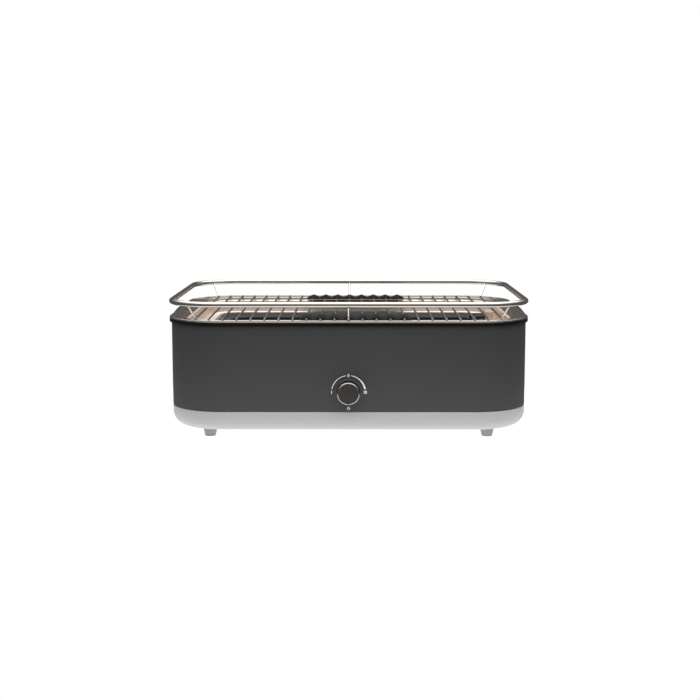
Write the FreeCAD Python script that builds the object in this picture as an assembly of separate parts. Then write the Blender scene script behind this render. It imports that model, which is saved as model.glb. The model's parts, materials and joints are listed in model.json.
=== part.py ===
import FreeCAD
import Part
import math
import os

# Electric table grill, in millimetres.
# +Z is up, the front with the knob faces -Y, and the floor under the feet is Z = 0.
# X = 0 and Y = 0 run through the middle of the body.

V = FreeCAD.Vector
X_AXIS = V(1, 0, 0)
Y_AXIS = V(0, 1, 0)
Z_AXIS = V(0, 0, 1)

# Body outline seen from above
body_length = 520.0
body_depth = 380.0
body_corner = 78.0
seam = 0.2

# Sheet-steel housing
housing_sheet = 1.2
housing_height = 127.6
housing_lip = 33.0
bend_radius = 2.0

# Plastic base tray
base_height = 29.0
base_wall = 2.5
base_round = 20.0

# Feet and their rubber pads
pad_height = 2.5
foot_height = 10.8
foot_top_radius = 10.8
foot_bottom_radius = 8.4
foot_inset_x = 58.0
foot_inset_y = 42.0
foot_stem_radius = 3.0
foot_stem_bore = 3.1
pad_inset = 0.4

# Rim bead and bowl
bowl_sheet = 1.0
bead_radius = 1.6
bead_overhang = 3.0
bead_sink = 0.4
flange_fold = 1.2
ledge_fold = 0.8
ledge_edge_fold = 2.0
shelf_edge_fold = 2.0
flange_width = 13.0
flange_drop = 2.2
ledge_depth = 3.9
ledge_width = 9.5
ledge_draft = 1.5
bowl_wall_draft = 4.0
shelf_drop = 20.9
shelf_width = 22.0
bowl_fillet = 4.0
well_depth = 51.0
well_draft = 4.0
well_fillet = 10.0

# Black trim below the rim
trim_height = 4.8
trim_low_round = 1.2
trim_top_round = 0.5

# Drip pan that hangs in the well
pan_sheet = 1.2
pan_rim_height = 2.8
pan_rim_width = 6.0
pan_side_gap = 2.6
pan_depth = 46.0
pan_draft = 3.5
pan_fillet = 8.0
pan_rim_fold = 1.5
sheet_overlap = 1.0
rest_gap = 0.3

# Grate
wire_radius = 2.0
wire_side_gap = 1.6
rod_radius = 1.5
rod_pitch = 20.0
rod_end_clearance = 15.0
rod_overhang = 4.0
weld_sink = 0.2

# Guard ring above the grate
guard_overhang_x = 1.85
guard_overhang_y = 9.3
guard_corner = 75.4
guard_radius = 4.0
guard_rise = 23.0
post_radius = 1.5
post_corner_angle = 52.4

# Corrugated strips over the middle rods
strip_sheet = 0.8
strip_depth = 42.0
strip_rise = 4.0
strip_end_gap = 0.8
strip_rods_left = 3
strip_ridges = 8

# Heating element
element_radius = 3.25
element_end_gap = 11.4
element_side_gap = 23.4
element_short_by = 46.0
element_above_floor = 39.5
element_bend = 14.0
element_straight = 0.5
lead_spacing = 28.0
lead_gap = 1.2
head_y = 45.0
head_length = 44.0
head_thickness = 12.5
head_height = 15.5
plug_bore_depth = 8.0
fit_gap = 0.05
pin_radius = 2.0
pin_length = 16.0
pin_hole_gap = 0.7
pin_root = 3.0
support_sheet = 1.0
support_width = 8.0
support_inset = 106.0

# Socket under the bowl's shelf
socket_thickness = 15.0
socket_depth = 20.0
tab_width = 5.0
tab_length = 6.0
tab_sheet = 0.8

# Dial, knob and switch
dial_z = 71.1
dial_hole_radius = 17.0
dial_sleeve = 0.8
dial_bezel_radius = 19.0
dial_bezel_height = 1.0
knob_radius = 16.4
knob_gap = 1.4
knob_reach = 15.6
knob_wall = 1.8
knob_hub_radius = 5.5
knob_ring_width = 0.4
knob_ring_height = 1.6
knob_bevel = 2.0
knob_blind = 1.4
knob_face_sheet = 1.0
knob_face_sink = 0.4
pointer_width = 1.2
pointer_length = 5.4
clip_setback = 4.0
clip_width = 2.0
clip_wire = 0.9
shaft_radius = 3.0
shaft_flat = 2.0
mark_radius = 24.0
mark_height = 0.15
mark_line = 0.7
switch_width = 34.0
switch_height = 28.0
switch_depth = 26.0
switch_wall = 3.0
rotor_radius = 9.0
rotor_length = 12.0
rotor_gap = 0.5
switch_standoff = 5.0
bracket_sheet = 1.5
bracket_width = 70.0
bracket_height = 24.0
bracket_toe = 9.0
bushing_radius = 4.5
bushing_gap = 0.5
nut_flats = 13.0
nut_height = 2.5

# Side grips
grip_length = 150.0
grip_height = 58.0
grip_plate = 2.0
grip_lip_reach = 6.0
grip_lip_height = 11.0
grip_arch = 5.0
grip_top_below_bead = 0.4
grip_bead_gap = 0.3
pocket_length = 104.0
pocket_height = 25.0
pocket_depth = 20.0
pocket_wall = 1.8
grip_screw_y = 63.0
grip_screw_length = 5.0
grip_screw_end_gap = 0.2

# Heat shield
shield_sheet = 0.8
shield_gap = 5.2
shield_inset = 66.0
shield_corner = 18.0
spacer_radius = 3.5
spacer_inset_x = 24.0
spacer_inset_y = 19.0

# Thermal cut-out
cutout_x = 60.0
cutout_radius = 8.0
cutout_height = 10.0
cutout_clearance = 3.0

# Mains inlet at the rear
inlet_from_end = 130.0
inlet_width = 24.5
inlet_height = 17.0
inlet_wall = 2.5
inlet_flange_width = 50.0
inlet_flange_height = 28.0
inlet_flange = 2.0
inlet_inside = 22.0
inlet_recess = 16.0
inlet_pin_pitch = 7.0
inlet_pin_length = 9.0
inlet_pin_width = 2.0
inlet_pin_height = 4.0
inlet_earth_rise = 2.5
inlet_pin_drop = 2.0
inlet_screw_length = 6.0
inlet_screw_x = 20.0

# Rear vents
vent_count = 14
vent_pitch = 12.0
vent_width = 3.0
vent_height = 24.0
vent_from_end = 170.0

# Screws
screw_radius = 1.6
cut_margin = 5.0
screw_bore_gap = 0.1
screw_head_radius = 3.2
screw_head_height = 2.2
base_screw_from_end = 110.0
base_boss_radius = 5.5
base_boss_inset = 26.0
base_counterbore_depth = 14.7

# Wiring
lead_radius = 1.4
lead_bend = 8.0
block_length = 36.0
block_depth = 16.0
block_height = 14.0
block_y = 120.0
stud_radius = 2.0
stud_length = 8.0
stud_from_inlet = 38.0
stud_nut_height = 2.0

# Heights that follow from the sizes above
base_z = pad_height + foot_height
base_counterbore_z = base_z + base_counterbore_depth
base_top_z = base_z + base_height
housing_z = base_top_z + seam
housing_top_z = housing_z + housing_height
rim_z = housing_top_z + bead_radius + seam / 2
trim_z = housing_top_z - trim_height
ledge_z = rim_z - ledge_depth
shelf_z = ledge_z - shelf_drop
well_z = shelf_z - well_depth
wire_z = ledge_z + rest_gap + wire_radius
rod_z = wire_z + wire_radius + rod_radius - weld_sink
rod_top_z = rod_z + rod_radius
guard_z = rod_z + guard_rise

# Offsets inward from the body's outer face
bead_inset = bead_radius - bead_overhang
flange_inset = flange_width
ledge_inset = flange_inset + ledge_draft
wall_top_inset = ledge_inset + ledge_width
wall_foot_inset = wall_top_inset + bowl_wall_draft
well_inset = wall_foot_inset + shelf_width
well_foot_inset = well_inset + well_draft
wire_inset = ledge_inset + wire_side_gap + wire_radius
pan_wall_inset = well_inset + pan_side_gap
pan_floor_inset = pan_wall_inset + pan_draft
pan_rim_inset = pan_wall_inset - pan_rim_width
pan_floor_z = shelf_z + rest_gap + pan_rim_height - pan_depth
element_z = pan_floor_z + element_above_floor
lead_z = shelf_z + rest_gap + pan_rim_height + lead_gap + element_radius

# Places that follow from the body's size
front_y = -body_depth / 2
rear_y = body_depth / 2
side_x = body_length / 2
foot_x = side_x - foot_inset_x
foot_y = rear_y - foot_inset_y
base_screw_x = side_x - base_screw_from_end
inlet_x = inlet_from_end - side_x
vent_x = side_x - vent_from_end
guard_half_x = side_x + guard_overhang_x - guard_radius
guard_half_y = rear_y + guard_overhang_y - guard_radius
guard_bend = guard_corner - guard_radius
rods_each_side = int((side_x - wire_inset - rod_end_clearance) / rod_pitch)
element_run_x = side_x - pan_wall_inset - element_end_gap
element_run_y = rear_y - pan_wall_inset - element_side_gap
element_inner_y = element_run_y / 3
element_inner_x = element_run_x - element_short_by
support_x = element_run_x - support_inset
spacer_x = side_x - shield_inset - spacer_inset_x
spacer_y = rear_y - shield_inset - spacer_inset_y


def rounded_path(points, radii, closed=False):
    """Wire of straight runs joined by tangent arcs; one radius per point, 0 for a sharp corner."""
    count = len(points)
    stops = []
    for i in range(count):
        point = points[i]
        radius = radii[i]
        if radius == 0 or (not closed and i in (0, count - 1)):
            stops.append((point, None, point))
            continue
        back = (points[i - 1] - point).normalize()
        ahead = (points[(i + 1) % count] - point).normalize()
        half = back.getAngle(ahead) / 2
        reach = radius / math.tan(half)
        middle = (back + ahead).normalize()
        centre = point + middle * (radius / math.sin(half))
        stops.append((point + back * reach, centre - middle * radius, point + ahead * reach))
    edges = []
    for i in range(count):
        enter, middle, leave = stops[i]
        if middle is not None:
            edges.append(Part.Arc(enter, middle, leave).toShape())
        if i < count - 1 or closed:
            following = stops[(i + 1) % count][0]
            if leave.distanceToPoint(following) > 1e-6:
                edges.append(Part.makeLine(leave, following))
    return Part.Wire(edges)


def outline(inset=0.0, z=0.0, length=body_length, depth=body_depth, corner=body_corner):
    """Rounded rectangle seen from above, which starts in the middle of the front."""
    half_x = length / 2 - inset
    half_y = depth / 2 - inset
    points = [V(0, -half_y, z), V(half_x, -half_y, z), V(half_x, half_y, z)]
    points += [V(-half_x, half_y, z), V(-half_x, -half_y, z)]
    radius = corner - inset
    return rounded_path(points, [0, radius, radius, radius, radius], closed=True)


def plate(inset, z_low, z_high, **size):
    """Flat plate with the rounded outline."""
    face = Part.Face(outline(inset, z_low, **size))
    return face.extrude(V(0, 0, z_high - z_low))


def offset_line(points, distance):
    """Open line of (inset, z) points, moved sideways to its right by a distance."""
    normals = []
    for start, end in zip(points, points[1:]):
        run = math.hypot(end[0] - start[0], end[1] - start[1])
        normals.append(((end[1] - start[1]) / run, -(end[0] - start[0]) / run))
    moved = []
    for i, point in enumerate(points):
        before = normals[max(i - 1, 0)]
        after = normals[min(i, len(normals) - 1)]
        scale = distance / (1 + before[0] * after[0] + before[1] * after[1])
        moved.append((point[0] + (before[0] + after[0]) * scale, point[1] + (before[1] + after[1]) * scale))
    return moved


def sweep_round(points, radii, **size):
    """Closed section of (inset, z) points, swept round the outline."""
    depth = size.get("depth", body_depth)
    section = rounded_path([V(0, inset - depth / 2, z) for inset, z in points], radii, closed=True)
    return outline(**size).makePipeShell([section], True, False)


def sheet_round(points, radii, thickness):
    """Bent sheet: an open line of (inset, z) points, thickened to its right and swept round the body."""
    other = offset_line(points, thickness)
    other_radii = []
    for i, radius in enumerate(radii):
        if radius == 0:
            other_radii.append(0)
            continue
        into = (points[i][0] - points[i - 1][0], points[i][1] - points[i - 1][1])
        out = (points[i + 1][0] - points[i][0], points[i + 1][1] - points[i][1])
        turn = into[0] * out[1] - into[1] * out[0]
        other_radii.append(radius + thickness if turn > 0 else radius - thickness)
    return sweep_round(points + other[::-1], radii + other_radii[::-1])


def round_wire(radius, z, **size):
    """Wire of round section that follows the rounded outline."""
    depth = size.get("depth", body_depth)
    inset = size.pop("inset", 0.0)
    start = V(0, inset - depth / 2, z)
    section = Part.Wire(Part.makeCircle(radius, start, X_AXIS))
    return outline(inset, z, **size).makePipeShell([section], True, False)


def tube(points, radii, radius):
    """Round tube along straight runs and tangent arcs."""
    path = rounded_path(points, radii)
    direction = points[1] - points[0]
    section = Part.Wire(Part.makeCircle(radius, points[0], direction))
    return path.makePipeShell([section], True, False)


def box(x_range, y_range, z_range):
    """Box between two limits along each axis."""
    size = [limits[1] - limits[0] for limits in (x_range, y_range, z_range)]
    return Part.makeBox(size[0], size[1], size[2], V(x_range[0], y_range[0], z_range[0]))


def rod(radius, start, end):
    """Straight round bar between two points."""
    run = end - start
    return Part.makeCylinder(radius, run.Length, start, run)


def around(middle, half):
    """Limits of a span about its middle."""
    return (middle - half, middle + half)


def four_corners(x, y):
    """The four mirrored places of a point."""
    return [(sx * x, sy * y) for sx in (-1, 1) for sy in (-1, 1)]


def save(name, shape):
    """Write one sub-part and report its solids."""
    if not shape.isValid():
        print("not valid:", name)
    shape.exportStep("parts/" + name + ".step")
    print(name, len(shape.Solids), "solids", round(shape.Volume / 1000, 3), "cm3")


def base_screw_places():
    """Where the base is screwed to the housing's lip."""
    y = rear_y - base_boss_inset
    x = side_x - base_boss_inset
    places = [(sx * base_screw_x, sy * y) for sx in (-1, 1) for sy in (-1, 1)]
    return places + [(-x, 0.0), (x, 0.0)]


def grip_screw_z():
    """Height of the screws that hold the grips."""
    return grip_top_z() - grip_arch - grip_lip_height / 2


def grip_top_z():
    """Highest point of the grips' arched lip."""
    return rim_z + bead_radius - grip_top_below_bead


def grip_pocket_z():
    """Lower and upper limit of the finger pocket."""
    low = grip_top_z() - grip_height + pocket_wall + bend_radius
    return (low, low + pocket_height)


def outer_housing():
    """Painted sheet-steel shell with an inward lip at its foot."""
    line = [(0, housing_top_z), (0, housing_z), (housing_lip, housing_z)]
    shell = sheet_round(line, [0, bend_radius, 0], -housing_sheet)
    front = (front_y - cut_margin, front_y + 2 * housing_sheet)
    rear = (rear_y - 2 * housing_sheet, rear_y + cut_margin)
    cuts = [rod(dial_hole_radius, V(0, front[0], dial_z), V(0, front[1], dial_z))]
    half_x = inlet_width / 2 + inlet_wall + seam
    half_z = inlet_height / 2 + inlet_wall + seam
    cuts.append(box(around(inlet_x, half_x), rear, around(dial_z, half_z)))
    for side in (-1, 1):
        x = inlet_x + side * inlet_screw_x
        cuts.append(rod(screw_radius + screw_bore_gap, V(x, rear[0], dial_z), V(x, rear[1], dial_z)))
    for i in range(vent_count):
        x = vent_x + (i - (vent_count - 1) / 2) * vent_pitch
        cuts.append(box(around(x, vent_width / 2), rear, around(dial_z, vent_height / 2)))
    for x, y in base_screw_places():
        cuts.append(rod(screw_radius + screw_bore_gap, V(x, y, housing_z - cut_margin), V(x, y, housing_z + cut_margin)))
    pocket = grip_pocket_z()
    for side in (-1, 1):
        wall = sorted((side * (side_x - 2 * housing_sheet), side * (side_x + cut_margin)))
        half_y = pocket_length / 2 + pocket_wall + seam
        low = pocket[0] - pocket_wall - seam
        high = pocket[1] + pocket_wall + seam
        cuts.append(box(wall, (-half_y, half_y), (low, high)))
        for y in (-grip_screw_y, grip_screw_y):
            start = V(wall[0], y, grip_screw_z())
            cuts.append(rod(screw_radius + screw_bore_gap, start, start + V(wall[1] - wall[0], 0, 0)))
    return shell.cut(Part.makeCompound(cuts))


def base_tray():
    """Light grey plastic tray with a rounded lower edge and screw bosses."""
    floor_inset = base_round + base_wall
    line = [(0, base_top_z), (0, base_z), (floor_inset, base_z)]
    tray = sheet_round(line, [0, base_round, 0], -base_wall)
    tray = tray.fuse(plate(floor_inset - sheet_overlap, base_z, base_z + base_wall))
    for x, y in base_screw_places():
        tray = tray.fuse(rod(base_boss_radius, V(x, y, base_z + base_wall / 2), V(x, y, base_top_z)))
    cuts = []
    for x, y in base_screw_places():
        cuts.append(rod(screw_radius + screw_bore_gap, V(x, y, base_z - cut_margin), V(x, y, base_top_z + cut_margin)))
        mouth = screw_head_radius + 2 * screw_bore_gap
        cuts.append(rod(mouth, V(x, y, base_z - cut_margin), V(x, y, base_counterbore_z)))
    for x, y in four_corners(foot_x, foot_y):
        cuts.append(rod(foot_stem_bore, V(x, y, base_z - cut_margin), V(x, y, base_z + base_wall + cut_margin)))
    return tray.cut(Part.makeCompound(cuts))


def base_screws():
    """Screws from below, through the base's bosses into the housing's lip."""
    solids = []
    for x, y in base_screw_places():
        head = rod(screw_head_radius, V(x, y, base_counterbore_z - screw_head_height), V(x, y, base_counterbore_z))
        shank = rod(screw_radius, V(x, y, base_counterbore_z), V(x, y, housing_z + 2 * housing_sheet))
        solids.append(head.fuse(shank))
    return Part.makeCompound(solids)


def foot(x, y):
    """Tapered foot with a stem that clicks into the base."""
    cone = Part.makeCone(foot_bottom_radius, foot_top_radius, foot_height, V(x, y, pad_height))
    stem = rod(foot_stem_radius, V(x, y, base_z), V(x, y, base_z + base_wall))
    socket = rod(foot_stem_bore, V(x, y, pad_height), V(x, y, pad_height + foot_height / 2))
    return cone.fuse(stem).cut(socket)


def foot_pad(x, y):
    """Rubber sole with a plug that sits in the foot."""
    sole_radius = foot_bottom_radius - pad_inset
    sole = rod(sole_radius, V(x, y, 0), V(x, y, pad_height))
    plug = rod(foot_stem_radius, V(x, y, pad_height), V(x, y, pad_height + foot_height / 3))
    return sole.fuse(plug)


def inner_bowl():
    """Steel bowl: rolled rim, sloping flange, ledge for the grate, shelf for the pan and a well."""
    line = [
        (bead_inset + bead_sink, rim_z + bowl_sheet / 2),
        (flange_inset, rim_z + bowl_sheet / 2 - flange_drop),
        (ledge_inset, ledge_z),
        (wall_top_inset, ledge_z),
        (wall_foot_inset, shelf_z),
        (well_inset, shelf_z),
        (well_foot_inset, well_z),
        (well_foot_inset + well_fillet * 2, well_z),
    ]
    radii = [0, flange_fold, ledge_fold, ledge_edge_fold, bowl_fillet, shelf_edge_fold, well_fillet, 0]
    sheet = sheet_round(line, radii, bowl_sheet)
    bead = round_wire(bead_radius, rim_z, inset=bead_inset)
    floor = plate(well_foot_inset + well_fillet * 2 - sheet_overlap, well_z - bowl_sheet, well_z)
    bowl = sheet.fuse([bead, floor])
    holes = []
    for x, y in pin_places():
        holes.append(rod(pin_radius + pin_hole_gap, V(x, y, shelf_z - cut_margin), V(x, y, shelf_z + cut_margin)))
    return bowl.cut(Part.makeCompound(holes))


def rim_trim():
    """Black trim round the housing's upper edge, flush with the bead above it."""
    outer = -bead_overhang
    section = [(-seam, trim_z), (outer, trim_z), (outer, housing_top_z), (-seam, housing_top_z)]
    return sweep_round(section, [0, trim_low_round, trim_top_round, 0])


def drip_pan():
    """Dark pan that hangs by its rim on the bowl's shelf."""
    low = shelf_z + rest_gap
    top = low + pan_rim_height
    line = [
        (pan_rim_inset, low),
        (pan_rim_inset, top),
        (pan_wall_inset, top),
        (pan_floor_inset, pan_floor_z),
        (pan_floor_inset + pan_fillet * 2, pan_floor_z),
    ]
    walls = sheet_round(line, [0, pan_rim_fold, pan_rim_fold, pan_fillet, 0], pan_sheet)
    floor = plate(pan_floor_inset + pan_fillet * 2 - sheet_overlap, pan_floor_z - pan_sheet, pan_floor_z)
    return walls.fuse(floor)


def frame_wire():
    """Round wire that closes the grate's edge and rests on the bowl's ledge."""
    return round_wire(wire_radius, wire_z, inset=wire_inset)


def frame_edge_y(x):
    """Half depth of the frame wire's centre line at a place along X."""
    half_x = side_x - wire_inset
    half_y = rear_y - wire_inset
    corner = body_corner - wire_inset
    over = abs(x) - (half_x - corner)
    if over <= 0:
        return half_y
    return half_y - corner + math.sqrt(corner ** 2 - over ** 2)


def grate_rods():
    """Straight rods from front to rear, on top of the frame wire."""
    solids = []
    for k in range(-rods_each_side, rods_each_side + 1):
        x = k * rod_pitch
        half = frame_edge_y(x) + rod_overhang
        solids.append(rod(rod_radius, V(x, -half, rod_z), V(x, half, rod_z)))
    return Part.makeCompound(solids)


def guard_ring():
    """Thick ring that keeps food on the grate."""
    size = dict(length=2 * guard_half_x, depth=2 * guard_half_y, corner=guard_bend)
    return round_wire(guard_radius, guard_z, **size)


def post_ends(x, side):
    """Lower and upper end of a post on one rod; the upper end lies on the ring's underside."""
    low = V(x, side * (frame_edge_y(x) + rod_overhang - post_radius), rod_top_z)
    high = V(0, side * guard_half_y, guard_z)
    if x:
        angle = math.radians(post_corner_angle)
        high.x = math.copysign(guard_half_x - guard_bend + guard_bend * math.cos(angle), x)
        high.y = side * (guard_half_y - guard_bend + guard_bend * math.sin(angle))
    run = high - low
    return low, high - run.normalize() * (guard_radius - weld_sink / 4)


def guard_posts():
    """Six thin posts that carry the guard ring."""
    solids = []
    for k in (-rods_each_side, 0, rods_each_side):
        for side in (-1, 1):
            low, high = post_ends(k * rod_pitch, side)
            solids.append(rod(post_radius, low, high))
    return Part.makeCompound(solids)


def ridge_strip(side):
    """Corrugated strip: a ridge over each middle rod, with its folds down on the frame wire."""
    first = -(strip_rods_left + 0.5) * rod_pitch
    half_fold = rod_pitch / 2
    slope = math.atan2(strip_rise, half_fold)
    valley = wire_z + wire_radius - weld_sink + strip_sheet / 2 / math.cos(slope)
    y_far = side * (frame_edge_y(0) + strip_end_gap)
    lift = strip_sheet / 2 / math.cos(slope)
    upper = []
    lower = []
    for i in range(2 * strip_ridges + 1):
        height = valley + (i % 2) * strip_rise
        upper.append(V(first + i * half_fold, y_far, height + lift))
        lower.append(V(first + i * half_fold, y_far, height - lift))
    ring = Part.makePolygon(upper + lower[::-1] + [upper[0]])
    return Part.Face(ring).extrude(V(0, -side * strip_depth, 0))


def pin_places():
    """The two plug pins below the element's head."""
    x = head_middle_x()
    return [(x, head_y - lead_spacing / 2), (x, head_y + lead_spacing / 2)]


def head_inner_x():
    """Face of the element's head that looks at the pan."""
    return side_x - pan_rim_inset + rest_gap + bowl_sheet


def head_middle_x():
    """Middle of the element's head along X."""
    return head_inner_x() + head_thickness / 2


def heating_element():
    """One tube: two long outer runs, two inner runs and two ends that rise over the pan's rim."""
    near = head_y - lead_spacing / 2
    far = head_y + lead_spacing / 2
    end_x = head_inner_x() + plug_bore_depth
    rise = lead_z - element_z
    points = [
        V(end_x, far, lead_z),
        V(element_run_x, far, lead_z),
        V(element_run_x, far + 2 * rise, element_z),
        V(element_run_x, element_run_y, element_z),
        V(-element_run_x, element_run_y, element_z),
        V(-element_run_x, element_inner_y, element_z),
        V(element_inner_x, element_inner_y, element_z),
        V(element_inner_x, -element_inner_y, element_z),
        V(-element_run_x, -element_inner_y, element_z),
        V(-element_run_x, -element_run_y, element_z),
        V(element_run_x, -element_run_y, element_z),
        V(element_run_x, near - 2 * rise, element_z),
        V(element_run_x, near, lead_z),
        V(end_x, near, lead_z),
    ]
    turn = (element_run_y - element_inner_y) / 2 - element_straight
    inner = element_inner_y - element_straight
    bend = element_bend
    radii = [0, bend / 2, bend, bend, turn, turn, inner, inner, turn, turn, bend, bend, bend / 2, 0]
    return tube(points, radii, element_radius)


def element_head():
    """Block at the element's ends; it stands on the shelf beside the pan."""
    x_low = head_inner_x()
    z_low = shelf_z + rest_gap
    block = box((x_low, x_low + head_thickness), around(head_y, head_length / 2), (z_low, z_low + head_height))
    cuts = []
    for y in (head_y - lead_spacing / 2, head_y + lead_spacing / 2):
        end = V(x_low + plug_bore_depth, y, lead_z)
        cuts.append(rod(element_radius + fit_gap, end - V(plug_bore_depth + cut_margin, 0, 0), end))
    for x, y in pin_places():
        cuts.append(rod(pin_radius + fit_gap, V(x, y, z_low - cut_margin), V(x, y, z_low + pin_root)))
    return block.cut(Part.makeCompound(cuts))


def element_pins():
    """Plug pins that carry the current to the socket."""
    solids = []
    for x, y in pin_places():
        top = shelf_z + rest_gap + pin_root
        solids.append(rod(pin_radius, V(x, y, top - pin_length), V(x, y, top)))
    return Part.makeCompound(solids)


def element_support(x):
    """Strap across the runs, with two feet on the pan's floor."""
    z_strap = element_z - element_radius - fit_gap - support_sheet
    half_y = element_run_y + 2 * element_radius
    span = around(x, support_width / 2)
    strap = box(span, (-half_y, half_y), (z_strap, z_strap + support_sheet))
    solids = [strap]
    for side in (-1, 1):
        outer = sorted((side * half_y, side * (half_y - support_sheet)))
        solids.append(box(span, outer, (pan_floor_z + rest_gap, z_strap + support_sheet)))
    return solids[0].fuse(solids[1:])


def element_socket():
    """Socket block under the shelf, with a bore for each plug pin."""
    x_middle = head_middle_x()
    z_top = shelf_z - bowl_sheet
    span = around(x_middle, socket_thickness / 2)
    block = box(span, around(head_y, head_length / 2), (z_top - socket_depth, z_top))
    bores = []
    for x, y in pin_places():
        depth = pin_length - pin_root + rest_gap
        bores.append(rod(pin_radius + pin_hole_gap, V(x, y, z_top - depth), V(x, y, z_top + cut_margin)))
    return block.cut(Part.makeCompound(bores))


def socket_tabs():
    """Flat contacts below the socket."""
    z_top = shelf_z - bowl_sheet - socket_depth
    solids = []
    for x, y in pin_places():
        span = around(x, tab_sheet / 2)
        solids.append(box(span, around(y, tab_width / 2), (z_top - tab_length, z_top)))
    return Part.makeCompound(solids)


def heat_shield():
    """Flat plate that keeps the bowl's heat from the switch and the wiring."""
    z_top = well_z - bowl_sheet - shield_gap
    size = dict(length=body_length - 2 * shield_inset, depth=body_depth - 2 * shield_inset)
    sheet = plate(0.0, z_top - shield_sheet, z_top, corner=shield_corner, **size)
    hole = rod(cutout_radius + cutout_clearance, V(cutout_x, 0, z_top - cut_margin), V(cutout_x, 0, z_top + cut_margin))
    return sheet.cut(hole)


def shield_spacers():
    """Short pillars between the bowl's floor and the heat shield."""
    z_top = well_z - bowl_sheet
    solids = []
    for x, y in four_corners(spacer_x, spacer_y):
        solids.append(rod(spacer_radius, V(x, y, z_top - shield_gap), V(x, y, z_top)))
    return Part.makeCompound(solids)


def thermal_cutout():
    """Round cut-out on the bowl's floor, with two tabs."""
    z_top = well_z - bowl_sheet
    body = rod(cutout_radius, V(cutout_x, 0, z_top - cutout_height), V(cutout_x, 0, z_top))
    tabs = []
    for side in (-1, 1):
        x = cutout_x + side * cutout_radius / 2
        z_low = z_top - cutout_height - tab_length
        tabs.append(box(around(x, tab_sheet / 2), around(0, tab_width / 2), (z_low, z_low + tab_length)))
    return body.fuse(tabs)


def arched_side(x_low, x_high, z_low, z_high, length, arch):
    """Slab against the side wall, whose top edge is one shallow arc."""
    half = length / 2
    left = V(x_low, -half, z_low)
    right = V(x_low, half, z_low)
    right_top = V(x_low, half, z_high - arch)
    left_top = V(x_low, -half, z_high - arch)
    crown = V(x_low, 0, z_high)
    edges = [Part.makeLine(left, right), Part.makeLine(right, right_top)]
    edges.append(Part.Arc(right_top, crown, left_top).toShape())
    edges.append(Part.makeLine(left_top, left))
    return Part.Face(Part.Wire(edges)).extrude(V(x_high - x_low, 0, 0))


def side_grip(side):
    """Black grip: plate with an arched lip and a finger pocket behind the plate."""
    top = grip_top_z()
    face = side_x + seam
    slab = arched_side(face, face + grip_plate, top - grip_height, top, grip_length, grip_arch)
    lip_low = top - grip_arch - grip_lip_height
    lip = arched_side(face, side_x + grip_lip_reach, lip_low, top, grip_length, grip_arch)
    low, high = grip_pocket_z()
    half_y = pocket_length / 2
    shell_y = (-half_y - pocket_wall, half_y + pocket_wall)
    shell_z = (low - pocket_wall, high + pocket_wall)
    shell = box((side_x - pocket_depth - pocket_wall, face + grip_plate / 2), shell_y, shell_z)
    hollow = box((side_x - pocket_depth, face + grip_lip_reach + cut_margin), (-half_y, half_y), (low, high))
    bead_x = (side_x - cut_margin, side_x + bead_overhang + grip_bead_gap)
    notch = box(bead_x, (-grip_length, grip_length), (trim_z - grip_bead_gap, top + cut_margin))
    grip = slab.fuse([lip, shell]).cut(hollow).cut(notch)
    bores = []
    for y in (-grip_screw_y, grip_screw_y):
        start = V(side_x - housing_sheet, y, grip_screw_z())
        bores.append(rod(screw_radius, start, start + V(grip_screw_length + grip_screw_end_gap, 0, 0)))
    grip = grip.cut(Part.makeCompound(bores))
    if side < 0:
        return grip.mirror(V(0, 0, 0), X_AXIS)
    return grip


def grip_screws():
    """Screws from inside the housing into the grips."""
    solids = []
    for side in (-1, 1):
        inner = side * (side_x - housing_sheet)
        for y in (-grip_screw_y, grip_screw_y):
            start = V(inner, y, grip_screw_z())
            head = rod(screw_head_radius, start - V(side * screw_head_height, 0, 0), start)
            shank = rod(screw_radius, start, start + V(side * grip_screw_length, 0, 0))
            solids.append(head.fuse(shank))
    return Part.makeCompound(solids)


def front_disc(radius, y_front, y_back):
    """Disc about the dial's axis."""
    return rod(radius, V(0, y_front, dial_z), V(0, y_back, dial_z))


def dial_bezel():
    """Flat ring around the knob, with a sleeve through the housing."""
    flange = front_disc(dial_bezel_radius, front_y - dial_bezel_height, front_y)
    sleeve = front_disc(dial_hole_radius - fit_gap, front_y, front_y + 2 * housing_sheet)
    bore = front_disc(dial_hole_radius - dial_sleeve, front_y - cut_margin, front_y + cut_margin)
    return flange.fuse(sleeve).cut(bore)


def front_arc_band(radius, width_start, width_end, start_deg, end_deg):
    """Thin printed arc on the front wall; its width grows evenly from start to end."""
    steps = 12
    outer = []
    inner = []
    for i in range(steps + 1):
        share = i / steps
        angle = math.radians(start_deg + (end_deg - start_deg) * share)
        half = (width_start + (width_end - width_start) * share) / 2
        for line, r in ((outer, radius + half), (inner, radius - half)):
            line.append(V(r * math.cos(angle), front_y, dial_z + r * math.sin(angle)))
    ring = Part.makePolygon(outer + inner[::-1] + [outer[0]])
    return Part.Face(ring).extrude(V(0, -mark_height, 0))


def bars(count, angle_deg):
    """Upright strokes of a plain numeral at a place on the dial."""
    x = mark_radius * math.cos(math.radians(angle_deg))
    z = dial_z + mark_radius * math.sin(math.radians(angle_deg))
    pitch = 2.4 * mark_line
    solids = []
    for i in range(count):
        middle = x + (i - (count - 1) / 2) * pitch
        depth = (front_y - mark_height, front_y)
        solids.append(box(around(middle, mark_line / 2), depth, around(z, 3.2 * mark_line)))
    return solids


def off_mark():
    """Small open diamond at the dial's foot."""
    z = dial_z - mark_radius
    rings = []
    for half in (3.6 * mark_line, 2.4 * mark_line):
        corners = [V(half, 0, z), V(0, 0, z + half), V(-half, 0, z), V(0, 0, z - half), V(half, 0, z)]
        ring = Part.makePolygon([corner + V(0, front_y, 0) for corner in corners])
        rings.append(Part.Face(ring).extrude(V(0, -mark_height, 0)))
    return rings[0].cut(rings[1])


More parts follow.
